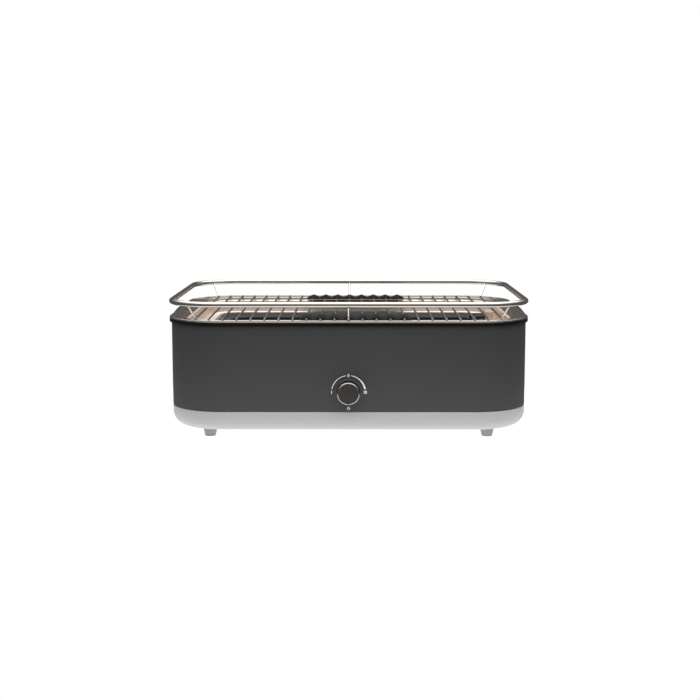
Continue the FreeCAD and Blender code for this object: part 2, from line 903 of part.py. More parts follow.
def dial_marks():
    """Printed dial: numerals for three steps, two arcs between them and an off mark."""
    solids = bars(1, 180.0) + bars(2, 90.0) + bars(3, 0.0)
    solids.append(front_arc_band(mark_radius, mark_line, mark_line, 169.0, 99.0))
    solids.append(front_arc_band(mark_radius, mark_line, 3.4 * mark_line, 81.0, 11.0))
    solids.append(off_mark())
    return Part.makeCompound(solids)


def knob_front_y():
    """Foremost face of the knob."""
    return front_y - knob_reach


def shaft_step_y():
    """Where the shaft's flat ends, behind the knob."""
    return front_y + housing_sheet + bushing_gap


def shaft_profile(extra):
    """Section of the shaft's flatted end, widened by a gap."""
    bar = front_disc(shaft_radius + extra, knob_front_y() + knob_ring_height + knob_blind, shaft_step_y())
    span = (-shaft_radius - cut_margin, shaft_radius + cut_margin)
    flat_z = (dial_z + shaft_flat + extra, dial_z + shaft_radius + cut_margin)
    flat = box(span, (knob_front_y() - cut_margin, front_y + cut_margin), flat_z)
    return bar.cut(flat)


def knob_body():
    """Knob shell with a hub that takes the flatted shaft."""
    back = front_y - knob_gap
    front = knob_front_y() + knob_ring_height
    shell = front_disc(knob_radius, front, back)
    hollow = front_disc(knob_radius - knob_wall, front + knob_wall, back + cut_margin)
    hub = front_disc(knob_hub_radius, front + knob_wall / 2, back)
    return shell.cut(hollow).fuse(hub).cut(shaft_profile(fit_gap))


def pointer_notch():
    """Shallow slot across the ring and the face's lower edge."""
    front = knob_front_y()
    low = dial_z - knob_radius
    depth = (front - cut_margin, front + knob_face_sink + knob_face_sheet / 2)
    return box(around(0, pointer_width / 2), depth, (low - cut_margin, low + pointer_length))


def knob_ring():
    """Bright bevelled ring at the knob's front edge."""
    front = knob_front_y()
    ring = Part.makeCone(knob_radius - knob_bevel, knob_radius, knob_ring_height, V(0, front, dial_z), Y_AXIS)
    bore = front_disc(knob_radius - knob_bevel - knob_ring_width, front - cut_margin, front + cut_margin)
    return ring.cut(bore).cut(pointer_notch())


def knob_face():
    """Flat face disc with the pointer's slot at its lower edge."""
    front = knob_front_y() + knob_face_sink
    radius = knob_radius - knob_bevel - knob_ring_width - fit_gap
    disc = front_disc(radius, front, knob_front_y() + knob_ring_height)
    return disc.cut(pointer_notch())


def knob_clip():
    """Spring that presses the hub onto the shaft's flat."""
    back = front_y - knob_gap
    start = back - clip_setback
    ring = front_disc(knob_hub_radius + clip_wire, start, start + clip_width)
    return ring.cut(front_disc(knob_hub_radius + fit_gap, start - cut_margin, start + cut_margin))


def switch_front_y():
    """Front face of the switch body."""
    return front_y + housing_sheet + switch_standoff + bracket_sheet


def rotary_switch():
    """Switch body with a chamber for its rotor and a bushing for the shaft."""
    front = switch_front_y()
    span_x = around(0, switch_width / 2)
    span_z = around(dial_z, switch_height / 2)
    body = box(span_x, (front, front + switch_depth), span_z)
    bushing = front_disc(bushing_radius, front_y + housing_sheet + bushing_gap, front)
    chamber = front_disc(rotor_radius + rotor_gap, front + switch_wall, front + switch_depth - switch_wall)
    bore = front_disc(shaft_radius + fit_gap, front_y, front + switch_wall + rotor_gap)
    return body.fuse(bushing).cut(chamber).cut(bore)


def switch_shaft():
    """Shaft from the rotor chamber to the knob, flatted in the knob."""
    front = switch_front_y()
    inside = front_disc(shaft_radius, shaft_step_y(), front + switch_wall + rotor_length / 2)
    return inside.fuse(shaft_profile(0.0))


def switch_rotor():
    """Contact drum on the shaft."""
    start = switch_front_y() + switch_wall + rotor_gap
    drum = front_disc(rotor_radius, start, start + rotor_length)
    lobe_z = (dial_z + rotor_radius * 0.7, dial_z + rotor_radius + cut_margin)
    lobe_cut = box((-rotor_radius, rotor_radius), (start + rotor_length / 4, start + rotor_length / 2), lobe_z)
    bore = front_disc(shaft_radius + fit_gap, start - cut_margin, switch_front_y() + switch_wall + rotor_length / 2)
    return drum.cut(lobe_cut).cut(bore)


def switch_bracket():
    """Hat-shaped bracket between the front wall and the switch."""
    wall = front_y + housing_sheet
    plate_y = (wall + switch_standoff, wall + switch_standoff + bracket_sheet)
    half = bracket_width / 2
    span_z = around(dial_z, bracket_height / 2)
    web = box((-half, half), plate_y, span_z)
    solids = []
    for side in (-1, 1):
        leg = sorted((side * half, side * (half - bracket_sheet)))
        toe = sorted((side * half, side * (half + bracket_toe)))
        solids.append(box(leg, (wall, plate_y[1]), span_z))
        solids.append(box(toe, (wall, wall + bracket_sheet), span_z))
    hole = front_disc(bushing_radius + fit_gap, front_y, plate_y[1] + cut_margin)
    return web.fuse(solids).cut(hole)


def switch_nut():
    """Hexagon nut on the bushing, in front of the bracket."""
    back = front_y + housing_sheet + switch_standoff
    radius = nut_flats / math.sqrt(3)
    corners = []
    for i in range(7):
        angle = math.radians(60 * i)
        corners.append(V(radius * math.cos(angle), back, dial_z + radius * math.sin(angle)))
    nut = Part.Face(Part.makePolygon(corners)).extrude(V(0, -nut_height, 0))
    return nut.cut(front_disc(bushing_radius + fit_gap, front_y, back + cut_margin))


def switch_tab_places():
    """X and Z of the two flat contacts at the switch's rear."""
    return [(-switch_width / 4, dial_z), (switch_width / 4, dial_z)]


def switch_tabs():
    """Flat contacts at the switch's rear."""
    back = switch_front_y() + switch_depth
    solids = []
    for x, z in switch_tab_places():
        solids.append(box(around(x, tab_sheet / 2), (back, back + tab_length), around(z, tab_width / 2)))
    return Part.makeCompound(solids)


def mains_inlet():
    """Appliance inlet: flange outside, recess for the plug and a closed body inside."""
    outer_x = around(inlet_x, inlet_width / 2 + inlet_wall)
    outer_z = around(dial_z, inlet_height / 2 + inlet_wall)
    shroud = box(outer_x, (rear_y - inlet_inside, rear_y + knob_reach), outer_z)
    flange_x = around(inlet_x, inlet_flange_width / 2)
    flange_z = around(dial_z, inlet_flange_height / 2)
    flange = box(flange_x, (rear_y + fit_gap, rear_y + inlet_flange), flange_z)
    recess_x = around(inlet_x, inlet_width / 2)
    recess_z = around(dial_z, inlet_height / 2)
    recess = box(recess_x, (rear_y + knob_reach - inlet_recess, rear_y + knob_reach + cut_margin), recess_z)
    bores = []
    for side in (-1, 1):
        x = inlet_x + side * inlet_screw_x
        bores.append(rod(screw_radius + screw_bore_gap, V(x, rear_y - cut_margin, dial_z), V(x, rear_y + cut_margin, dial_z)))
    for i in (-1, 0, 1):
        bores.append(inlet_pin(i, fit_gap))
    return shroud.fuse(flange).cut(recess).cut(Part.makeCompound(bores))


def inlet_pin_z(place):
    """Height of one of the inlet's pins; the middle one stands higher."""
    return dial_z + (inlet_earth_rise if place == 0 else -inlet_pin_drop)


def inlet_pin(place, extra):
    """One flat pin through the inlet's floor, with its tab inside the housing."""
    x = inlet_x + place * inlet_pin_pitch
    z = inlet_pin_z(place)
    floor_y = rear_y + knob_reach - inlet_recess
    return box(
        around(x, inlet_pin_width / 2 + extra),
        (rear_y - inlet_inside - tab_length, floor_y + inlet_pin_length),
        around(z, inlet_pin_height / 2 + extra),
    )


def inlet_pins():
    """The three pins of the inlet."""
    return Part.makeCompound([inlet_pin(place, 0.0) for place in (-1, 0, 1)])


def inlet_screws():
    """Screws that hold the inlet's flange to the rear wall."""
    solids = []
    for side in (-1, 1):
        x = inlet_x + side * inlet_screw_x
        face = rear_y + inlet_flange
        head = rod(screw_head_radius * 0.8, V(x, face, dial_z), V(x, face + screw_head_height / 2, dial_z))
        shank = rod(screw_radius, V(x, face - inlet_screw_length, dial_z), V(x, face, dial_z))
        solids.append(head.fuse(shank))
    return Part.makeCompound(solids)


def terminal_block():
    """Block on the base's floor where the leads meet."""
    z_low = base_z + base_wall
    span = around(inlet_x, block_length / 2)
    return box(span, around(block_y, block_depth / 2), (z_low, z_low + block_height))


def earth_stud():
    """Threaded stud with its nut, welded inside the rear wall beside the inlet."""
    wall = rear_y - housing_sheet
    x = inlet_x + stud_from_inlet
    stud = rod(stud_radius, V(x, wall - stud_length, dial_z), V(x, wall, dial_z))
    nut = rod(2 * stud_radius, V(x, wall - 2 * stud_nut_height, dial_z), V(x, wall - stud_nut_height, dial_z))
    return stud.fuse(nut)


def lead(points):
    """Insulated lead along straight runs, with the same bend at every corner."""
    radii = [0] + [lead_bend] * (len(points) - 2) + [0]
    return tube([V(*point) for point in points], radii, lead_radius)


def supply_leads():
    """Leads from the inlet's outer pins to the terminal block, and its earth lead to the stud."""
    tab_y = rear_y - inlet_inside - tab_length
    top = base_z + base_wall + block_height
    solids = []
    for place in (-1, 1):
        x = inlet_x + place * inlet_pin_pitch
        z = inlet_pin_z(place)
        solids.append(lead([(x, tab_y, z), (x, block_y, z), (x, block_y, top)]))
    z = inlet_pin_z(0)
    stud_x = inlet_x + stud_from_inlet
    tip_y = rear_y - housing_sheet - stud_length
    turn_y = tab_y - 1.5 * lead_bend
    earth = [(inlet_x, tab_y, z), (inlet_x, turn_y, z), (stud_x, turn_y, z), (stud_x, tip_y, z)]
    return Part.makeCompound(solids + [lead(earth)])


def switch_leads():
    """Leads from the switch's two contacts along the base's floor to the terminal block."""
    tab_y = switch_front_y() + switch_depth + tab_length
    down_y = tab_y + 2.5 * lead_bend
    z_run = base_z + base_wall + 3 * lead_radius
    side_face = inlet_x + block_length / 2
    solids = []
    for place, (x, z) in zip((-1, 1), switch_tab_places()):
        y = block_y + place * block_depth / 4
        points = [(x, tab_y, z), (x, down_y, z), (x, down_y, z_run), (x, y, z_run), (side_face, y, z_run)]
        solids.append(lead(points))
    return Part.makeCompound(solids)


def heater_leads():
    """Leads from the socket to the terminal block, one of them by way of the thermal cut-out."""
    x_tab = head_middle_x()
    z_tab = shelf_z - bowl_sheet - socket_depth - tab_length
    y_near = head_y - lead_spacing / 2
    y_far = head_y + lead_spacing / 2
    z_run = base_z + base_wall + 8 * lead_radius
    z_cross = z_run + 4 * lead_bend
    z_cutout = well_z - bowl_sheet - cutout_height - tab_length
    x_in = cutout_x + cutout_radius / 2
    x_out = cutout_x - cutout_radius / 2
    face_y = block_y - block_depth / 2
    x_near = inlet_x - inlet_pin_pitch
    x_far = inlet_x + inlet_pin_pitch
    to_cutout = [(x_tab, y_near, z_tab), (x_tab, y_near, z_cross), (x_in, y_near, z_cross)]
    to_cutout += [(x_in, 0, z_cross), (x_in, 0, z_cutout)]
    to_block = [(x_out, 0, z_cutout), (x_out, 0, z_run), (x_near, 0, z_run), (x_near, face_y, z_run)]
    direct = [(x_tab, y_far, z_tab), (x_tab, y_far, z_run), (x_far, y_far, z_run), (x_far, face_y, z_run)]
    return Part.makeCompound([lead(to_cutout), lead(to_block), lead(direct)])


os.makedirs("parts", exist_ok=True)

save("outer_housing", outer_housing())
save("base_tray", base_tray())
save("base_screws", base_screws())
for place_x, place_y in four_corners(foot_x, foot_y):
    corner_name = ("front_" if place_y < 0 else "rear_") + ("left" if place_x < 0 else "right")
    save("foot_" + corner_name, foot(place_x, place_y))
    save("foot_pad_" + corner_name, foot_pad(place_x, place_y))
save("inner_bowl", inner_bowl())
save("rim_trim", rim_trim())
save("drip_pan", drip_pan())
save("heating_element", heating_element())
save("element_head", element_head())
save("element_pins", element_pins())
save("element_support_left", element_support(-support_x))
save("element_support_right", element_support(support_x))
save("element_socket", element_socket())
save("socket_tabs", socket_tabs())
save("frame_wire", frame_wire())
save("grate_rods", grate_rods())
save("guard_ring", guard_ring())
save("guard_posts", guard_posts())
save("ridge_strip_front", ridge_strip(-1))
save("ridge_strip_rear", ridge_strip(1))
save("side_grip_left", side_grip(-1))
save("side_grip_right", side_grip(1))
save("grip_screws", grip_screws())
save("heat_shield", heat_shield())
save("shield_spacers", shield_spacers())
save("thermal_cutout", thermal_cutout())
save("earth_stud", earth_stud())
save("dial_bezel", dial_bezel())
save("dial_marks", dial_marks())
save("knob_body", knob_body())
save("knob_ring", knob_ring())
save("knob_face", knob_face())
save("knob_clip", knob_clip())
save("switch_shaft", switch_shaft())
save("switch_rotor", switch_rotor())
save("rotary_switch", rotary_switch())
save("switch_bracket", switch_bracket())
save("switch_nut", switch_nut())
save("switch_tabs", switch_tabs())
save("mains_inlet", mains_inlet())
save("inlet_pins", inlet_pins())
save("inlet_screws", inlet_screws())
save("terminal_block", terminal_block())
save("supply_leads", supply_leads())
save("switch_leads", switch_leads())
save("heater_leads", heater_leads())
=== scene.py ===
import json
import math

import bmesh
import bpy
from mathutils import Matrix, Vector


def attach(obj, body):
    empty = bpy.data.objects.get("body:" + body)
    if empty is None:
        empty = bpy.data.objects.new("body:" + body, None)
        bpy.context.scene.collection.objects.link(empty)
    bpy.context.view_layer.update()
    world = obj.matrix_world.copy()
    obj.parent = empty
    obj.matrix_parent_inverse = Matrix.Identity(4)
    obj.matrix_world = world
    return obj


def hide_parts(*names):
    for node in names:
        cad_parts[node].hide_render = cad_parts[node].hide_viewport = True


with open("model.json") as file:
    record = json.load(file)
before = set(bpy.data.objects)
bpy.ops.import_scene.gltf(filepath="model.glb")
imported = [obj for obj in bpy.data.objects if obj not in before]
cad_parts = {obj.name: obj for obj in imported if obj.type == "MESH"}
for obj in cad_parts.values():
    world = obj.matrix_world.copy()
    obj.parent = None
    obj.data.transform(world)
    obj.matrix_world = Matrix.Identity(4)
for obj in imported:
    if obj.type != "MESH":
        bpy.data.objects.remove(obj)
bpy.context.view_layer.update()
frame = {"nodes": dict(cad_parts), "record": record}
BODY_NODES = frame["record"]["behaviour"]["bodies"]

# Electric table grill. Lengths are in millimetres and angles in degrees where no comment says otherwise,
# and a drawing is turned into metres when its piece is made
MM = 0.001
TOWARDS_USER, ACROSS = Vector((0, -1, 0)), Vector((1, 0, 0))

# Sizes shared with the frame. A rounded rectangle is a half length, a half depth and a corner radius
BODY = (260.0, 190.0, 78.0)
GUARD = (257.85, 195.3, 71.4)
LOOP = (241.9, 171.9, 59.9)
GUARD_Z, GUARD_RADIUS = 196.5, 4.0
LOOP_Z, LOOP_RADIUS = 170.2, 2.0
BAR_Z, BAR_RADIUS, BAR_PITCH, BARS_EACH_SIDE, BAR_OVERHANG = 173.5, 1.5, 20.0, 11, 4.0
POST_RADIUS, POST_CORNER_ANGLE = 1.5, 52.4
STRIP_RIDGES, STRIP_RISE, STRIP_SHEET, STRIP_DEPTH = 8, 4.0, 0.8, 42.0
STRIP_START_IN_PITCHES, STRIP_PAST_LOOP = -3.5, 0.8
TRIM_LOW, TRIM_TOP, TRIM_OUT, TRIM_IN = 165.3, 170.1, -193.0, -190.2
DIAL = Vector((0.0, -190.0, 71.1))
KNOB_RADIUS, KNOB_BACK, KNOB_FRONT, KNOB_WALL = 16.4, 1.4, 14.0, 1.8
HUB_RADIUS, SHAFT_BORE, BORE_CAP = 5.5, 3.05, 1.4
FACE_RADIUS, KNOB_RING_INSET, KNOB_RING_FRONT, POINTER_GAP = 14.0, 0.5, 15.6, 4.4
MARK_RADIUS, PRINT_THICKNESS = 24.0, 0.12

# Screws: where their heads sit, and head radius, head height, shank radius and length
BASE_SCREW_PLACES = ((-150, -164), (150, -164), (-150, 164), (150, 164), (-234, 0), (234, 0))
BASE_SCREW_Z, BASE_SCREW = 28.0, (3.2, 2.2, 1.6, 16.9)
INLET_SCREW_SEATS = ((-150, 192.0, 71.1), (-110, 192.0, 71.1))
INLET_SCREW = (2.56, 1.1, 1.6, 6.0)

# Fine detail that only the scene has. A collar is a length and an extra radius, and a round, a fold or a
# broken edge is a width and its steps
GUARD_SIDES, GUARD_CORNER_STEPS = 28, 24
LOOP_SIDES, LOOP_CORNER_STEPS = 18, 18
BAR_SIDES, BAR_END_ROUND = 16, (0.7, 3)
WELD_HALF_SIZE = (1.9, 1.5, 0.8)
POST_SIDES, POST_INTO_BAR, POST_INTO_GUARD = 20, 0.6, 0.4
LOW_COLLAR, HIGH_COLLAR = (1.6, 0.7), (1.8, 0.8)
STRIP_FOLD = (1.3, 3)
TRIM_CORNER_STEPS, TRIM_FOOT_ROUND, TRIM_TOP_ROUND = 24, (1.2, 6), (0.5, 4)
BASE_EDGE, BASE_TOP_EDGE, INLET_EDGE, FOOT_EDGE = (0.4, 2), (1.0, 4), (0.4, 2), (0.5, 3)
GRIP_EDGE, HEAD_EDGE, SOCKET_EDGE = (0.6, 3), (0.6, 3), (0.6, 2)
BEZEL_STEPS, KNOB_STEPS, SCREW_STEPS = 64, 96, 24

# Low ring round the knob and its sleeve through the wall: (radius, height over the wall)
BEZEL_PROFILE = (
    (16.2, -2.4), (16.95, -2.4), (16.95, 0.0), (19.0, 0.0), (19.0, 0.1), (18.9, 0.28), (18.3, 0.62),
    (17.5, 0.9), (16.9, 1.0), (16.5, 1.0), (16.28, 0.92), (16.2, 0.7),
)
# Knob's edges: (distance inside its outer radius, height over its back or its front)
KNOB_BACK_EDGE = ((0.35, 0.0), (0.1, 0.1), (0.0, 0.35))
KNOB_FRONT_EDGE = ((0.0, -0.4), (0.08, 0.0), (0.28, 0.28), (0.5, 0.38), (0.5, 0.0))
# Bright ring: (distance inside its outer radius, height over the knob's front), then (distance outside the
# face, depth under the ring's front)
KNOB_RING_OUTSIDE = ((0.0, 0.0), (0.0, 0.65), (0.1, 0.8))
KNOB_RING_INSIDE = ((0.95, 0.14), (0.7, 0.0), (0.12, 0.04), (0.0, 0.2))
# Black line in the pointer's slot: its size, and its place under the axis and behind the ring's front
INLAY_SIZE, INLAY_UNDER_AXIS, INLAY_BEHIND_FRONT, INLAY_EDGE = (1.1, 0.34, 4.4), 13.3, 0.72, (0.08, 2)

# Dial print. An arc is its two angles and its two widths, and a numeral is its strokes and its angle. The
# angles run from the right of the dial against the clock
ARCS = ((169.0, 99.0, 0.9, 0.9), (81.0, 11.0, 0.9, 2.5))
ARC_STEPS = 20
NUMERALS = ((1, 180.0), (2, 90.0), (3, 0.0))
STROKE_HALF_WIDTH, STROKE_HALF_HEIGHT, STROKE_PITCH = 0.42, 2.25, 1.65
DIAMOND_HALF_SIDE, DIAMOND_LINE, DIAMOND_RAISED = 1.75, 0.9, 0.6
UPRIGHT = Matrix.Rotation(math.radians(90), 4, "X")

# Screw head's outline and cross recess, as shares of the head's radius and height, and the shank's blunt tip,
# as shares of its radius
SCREW_HEAD = ((1.0, 0.0), (1.0, 0.45), (0.93, 0.75), (0.78, 0.94), (0.6, 1.0))
RECESS_HALF_WIDTH, RECESS_INSET, RECESS_DEPTH = 0.13, 0.05, 0.55
TIP_RADIUS, TIP_LENGTH = 0.7, 0.5

# Drawing: vertices this close are one, facets this flat are one face, and edges this sharp are broken. Within
# its slack a point is still on the top of a part, on the body's outline, on a screw head's top or on a cut
MERGE, SEAM_MERGE, SCREW_MERGE, FLAT_ANGLE, SHARP_ANGLE = 0.01, 1e-3, 1e-4, 0.5, 35.0
TOP_SLACK, OUTLINE_SLACK, HEAD_SLACK, CUT_SLACK = 0.01, 0.5, 1e-4, 1e-5

# Effects: the span of a mask over which a roughness runs from its low to its high value, the detail of a fine
# and of a broad noise, and the rise in metres of a grain and of a drawn line at a height of 1
MASK_LOW, MASK_HIGH = 0.3, 0.7
FINE_DETAIL, BROAD_DETAIL = 3.0, 4.0
GRAIN_RISE, LINE_RISE = 0.0002, 0.0001

# Steel of the bowl: its walls, whose bright warm tone is partly painted light in the shaded bowl, its bead
# and flange, and the top of the bead, painted darker as a dark reflection. One passes into the next between
# two heights, in metres
WALL_PAINTED_LIGHT_TONE, WALL_ROUGH = (1.0, 0.87, 0.76), 0.50
RIM_TONE, RIM_ROUGH, RIM_FADE = (0.54, 0.50, 0.465), 0.18, (0.1676, 0.1690)
CROWN_PAINTED_REFLECTION_TONE, CROWN_PAINTED_REFLECTION_FADE = (0.36, 0.325, 0.295), (0.1721, 0.1726)
BOWL_LINES = {"Stretch": (1.0, 1.0, 9.0), "Scale": 60.0, "Height": 0.006}
BOWL_LINES_SHOW = 0.25

# Studio, in metres: the room's tones by the height of the line of sight, the floor, the light, and the camera
# with its turn in radians
ROOM_DARK = (0.28, (0.125, 0.115, 0.106))
ROOM_BRIGHT = (0.58, (0.95, 0.95, 0.95))
WHITE = (1.0, 1.0, 1.0, 1.0)
FLOOR_RADIUS, FLOOR_SIDES, FLOOR_TONE, FLOOR_ROUGH, FLOOR_GLOW = 0.42, 96, 0.25, 0.9, 1.0
LIGHT_PLACE, LIGHT_AIM, LIGHT_SIZE, LIGHT_WATTS = (0.0, 0.3, 2.2), (0.0, 0.1, 0.1), (4.6, 3.8), 58.0
CAMERA_PLACE, CAMERA_TURN = (0.0097, -2.015, 0.3824), (math.radians(82.18), 0.0, 0.0041)
LENS_MM, SENSOR_WIDTH_MM = 66.86, 36.0


# Making pieces

def facing(centre, direction):
    """Place of a round shape that stands about a point and looks along a direction."""
    return Matrix.Translation(centre) @ direction.to_track_quat("Z", "Y").to_matrix().to_4x4()


def edges_among(verts):
    """The edges that lie wholly among some vertices."""
    chosen = set(verts)
    return list({e for v in chosen for e in v.link_edges if e.other_vert(v) in chosen})


def run(bm, line, move):
    """Extrude a line of edges straight and give back its far end."""
    made = bmesh.ops.extrude_edge_only(bm, edges=line)["geom"]
    verts = [g for g in made if isinstance(g, bmesh.types.BMVert)]
    bmesh.ops.translate(bm, verts=verts, vec=Vector(move))
    return edges_among(verts)


def turn(bm, line, centre, axis, degrees, steps):
    """Spin a line of edges about an axis and give back its far end."""
    verts = list({v for e in line for v in e.verts})
    made = bmesh.ops.spin(
        bm, geom=verts + line, cent=Vector(centre), axis=Vector(axis),
        angle=math.radians(degrees), steps=steps, use_duplicate=False,
    )["geom_last"]
    return [g for g in made if isinstance(g, bmesh.types.BMEdge)]


def go_round(bm, line, outline, corner_steps):
    """Sweep a section that stands at the middle of the front once round a rounded rectangle."""
    flat_x, flat_y = outline[0] - outline[2], outline[1] - outline[2]
    line = run(bm, line, (flat_x, 0, 0))
    legs = (
        (1, -1, (0, 2 * flat_y, 0)), (1, 1, (-2 * flat_x, 0, 0)),
        (-1, 1, (0, -2 * flat_y, 0)), (-1, -1, (flat_x, 0, 0)),
    )
    for side_x, side_y, move in legs:
        line = turn(bm, line, (side_x * flat_x, side_y * flat_y, 0), (0, 0, 1), 90, corner_steps)
        line = run(bm, line, move)


def wire_round(bm, outline, z, radius, sides, corner_steps):
    """Round wire that runs once round a rounded rectangle."""
    place = facing(Vector((0, -outline[1], z)), ACROSS)
    made = bmesh.ops.create_circle(bm, cap_ends=False, segments=sides, radius=radius, matrix=place)
    go_round(bm, edges_among(made["verts"]), outline, corner_steps)


def bar(bm, start, end, radius, end_radius, sides):
    """Round bar or cone between two points."""
    bmesh.ops.create_cone(
        bm, cap_ends=True, segments=sides, radius1=radius, radius2=end_radius,
        depth=(end - start).length, matrix=facing((start + end) / 2, end - start),
    )


def lathe(bm, profile, steps, centre=DIAL, axis=TOWARDS_USER, closed=False):
    """Full spin of a line of (radius, height) points about an axis."""
    verts = [bm.verts.new(centre + ACROSS * radius + axis * height) for radius, height in profile]
    line = [bm.edges.new(pair) for pair in zip(verts, verts[1:] + (verts[:1] if closed else []))]
    bmesh.ops.spin(
        bm, geom=verts + line, cent=centre, axis=axis, angle=2 * math.pi,
        steps=steps, use_merge=True, use_duplicate=False,
    )


def round_corners(bm, verts, width, steps):
    """Round off some corners of a line."""
    bmesh.ops.bevel(
        bm, geom=verts, offset=width, segments=steps, profile=0.5, affect="VERTICES", material=-1,
    )


def soften(bm, edges, width, steps):
    """Round off some edges."""
    bmesh.ops.bevel(
        bm, geom=edges, offset=width, segments=steps, profile=0.5, affect="EDGES", material=-1,
    )


def make_piece(name, bm, finish, body, stands_for=(), sharp=38.0):
    """Turn a drawing in millimetres into a piece that rides on a body."""
    bmesh.ops.remove_doubles(bm, verts=bm.verts[:], dist=MERGE)
    bmesh.ops.recalc_face_normals(bm, faces=bm.faces[:])
    bmesh.ops.scale(bm, verts=bm.verts[:], vec=(MM, MM, MM))
    mesh = bpy.data.meshes.new(name)
    bm.to_mesh(mesh)
    bm.free()
    mesh.materials.append(finish)
    mesh.polygons.foreach_set("use_smooth", [True] * len(mesh.polygons))
    mesh.set_sharp_from_angle(angle=math.radians(sharp))
    piece = bpy.data.objects.new(name, mesh)
    bpy.context.scene.collection.objects.link(piece)
    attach(piece, body)
    if stands_for:
        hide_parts(*stands_for)


# Surface effects

NUMBER, DIRECTION = "NodeSocketFloat", "NodeSocketVector"


def link(tree, source, target):
    """Join two sockets."""
    tree.links.new(source, target)


def set_sockets(node, values):
    """Set a node's plain values by the names of their sockets, with _ for a space."""
    for socket, value in values.items():
        node.inputs[socket.replace("_", " ")].default_value = value


def object_place(tree):
    """Object coordinates."""
    return tree.nodes.new("ShaderNodeTexCoord").outputs["Object"]


def noise(tree, place, scale, detail):
    """Value of a noise whose scale comes from a socket."""
    texture = tree.nodes.new("ShaderNodeTexNoise")
    texture.inputs["Detail"].default_value = detail
    link(tree, place, texture.inputs["Vector"])
    link(tree, scale, texture.inputs["Scale"])
    return texture.outputs["Fac"]


def bumped(tree, height, strength, distance):
    """Normal of a surface that rises with a value, by a distance in metres."""
    bump = tree.nodes.new("ShaderNodeBump")
    bump.inputs["Distance"].default_value = distance
    link(tree, height, bump.inputs["Height"])
    link(tree, strength, bump.inputs["Strength"])
    return bump.outputs["Normal"]


def ranged(tree, source, **limits):
    """Value spread from one range to another."""
    spread = tree.nodes.new("ShaderNodeMapRange")
    set_sockets(spread, limits)
    link(tree, source, spread.inputs["Value"])
    return spread.outputs["Result"]


def blended(tree, mask, first, second):
    """Blend of two colours, each a plain one or a socket, by a mask."""
    mix = tree.nodes.new("ShaderNodeMix")
    mix.data_type = "RGBA"
    ends = [s for s in mix.inputs if s.type == "RGBA"]
    for end, colour in zip(ends, (first, second)):
        if isinstance(colour, bpy.types.NodeSocket):
            link(tree, colour, end)
        else:
            end.default_value = (*colour, 1.0)
    link(tree, mask, mix.inputs[0])
    return next(s for s in mix.outputs if s.type == "RGBA")


def effect(name, inputs, outputs):
    """Empty node group with named sockets, and its two end nodes."""
    tree = bpy.data.node_groups.new(name, "ShaderNodeTree")
    for socket, kind, value in inputs:
        made = tree.interface.new_socket(name=socket, in_out="INPUT", socket_type=kind)
        made.default_value = value
    for socket, kind in outputs:
        tree.interface.new_socket(name=socket, in_out="OUTPUT", socket_type=kind)
    return tree, tree.nodes.new("NodeGroupInput"), tree.nodes.new("NodeGroupOutput")


def grain_effect():
    """Fine grain as a normal, and larger patches as a mask."""
    tree, given, gives = effect(
        "fine_grain",
        [("Scale", NUMBER, 900.0), ("Height", NUMBER, 0.15), ("Patch Scale", NUMBER, 14.0)],
        [("Normal", DIRECTION), ("Patches", NUMBER)],
    )
    place = object_place(tree)
    fine = noise(tree, place, given.outputs["Scale"], FINE_DETAIL)
    patches = noise(tree, place, given.outputs["Patch Scale"], BROAD_DETAIL)
    link(tree, bumped(tree, fine, given.outputs["Height"], GRAIN_RISE), gives.inputs["Normal"])
    link(tree, patches, gives.inputs["Patches"])
    return tree


def brushed_effect():
    """Drawn lines: noise stretched along one direction, as a normal and a mask."""
    tree, given, gives = effect(
        "drawn_lines",
        [("Stretch", DIRECTION, (1.0, 1.0, 1.0)), ("Scale", NUMBER, 400.0), ("Height", NUMBER, 0.1)],
        [("Normal", DIRECTION), ("Lines", NUMBER)],
    )
    stretch = tree.nodes.new("ShaderNodeVectorMath")
    stretch.operation = "MULTIPLY"
    link(tree, object_place(tree), stretch.inputs[0])
    link(tree, given.outputs["Stretch"], stretch.inputs[1])
    lines = noise(tree, stretch.outputs["Vector"], given.outputs["Scale"], BROAD_DETAIL)
    link(tree, bumped(tree, lines, given.outputs["Height"], LINE_RISE), gives.inputs["Normal"])
    link(tree, lines, gives.inputs["Lines"])
    return tree


GRAIN = grain_effect()
DRAWN = brushed_effect()


def place_effect(tree, group, values):
    """Place an effect in a material with its own values and give back its outputs."""
    node = tree.nodes.new("ShaderNodeGroup")
    node.node_tree = group
    set_sockets(node, values)
    return node.outputs


# Finishes

def blank_finish(name, **sockets):
    """Material with its shader's plain values set, its tree and its shader."""
    material = bpy.data.materials.new(name)
    material.use_nodes = True
    tree = material.node_tree
    shader = tree.nodes["Principled BSDF"]
    set_sockets(shader, sockets)
    return material, tree, shader


def patterned(name, group, mask, values, dark, light, rough, **sockets):
    """Finish whose tone and roughness follow one mask of an effect, with that effect's normal."""
    material, tree, shader = blank_finish(name, **sockets)
    pattern = place_effect(tree, group, values)
    roughness = ranged(
        tree, pattern[mask], From_Min=MASK_LOW, From_Max=MASK_HIGH, To_Min=rough[0], To_Max=rough[1],
    )
    link(tree, pattern["Normal"], shader.inputs["Normal"])
    link(tree, roughness, shader.inputs["Roughness"])
    link(tree, blended(tree, pattern[mask], dark, light), shader.inputs["Base Color"])
    return material


def grained(name, dark, light, rough, scale, height, patch_scale, **sockets):
    """Finish with a fine grain: paint, moulded plastic, rubber, enamel, plated metal."""
    values = {"Scale": scale, "Height": height, "Patch Scale": patch_scale}
    return patterned(name, GRAIN, "Patches", values, dark, light, rough, **sockets)


def drawn(name, dark, light, rough, stretch, scale, height, **sockets):
    """Drawn or polished metal with fine lines along one direction."""
    values = {"Stretch": stretch, "Scale": scale, "Height": height}
    return patterned(name, DRAWN, "Lines", values, dark, light, rough, Metallic=1.0, **sockets)


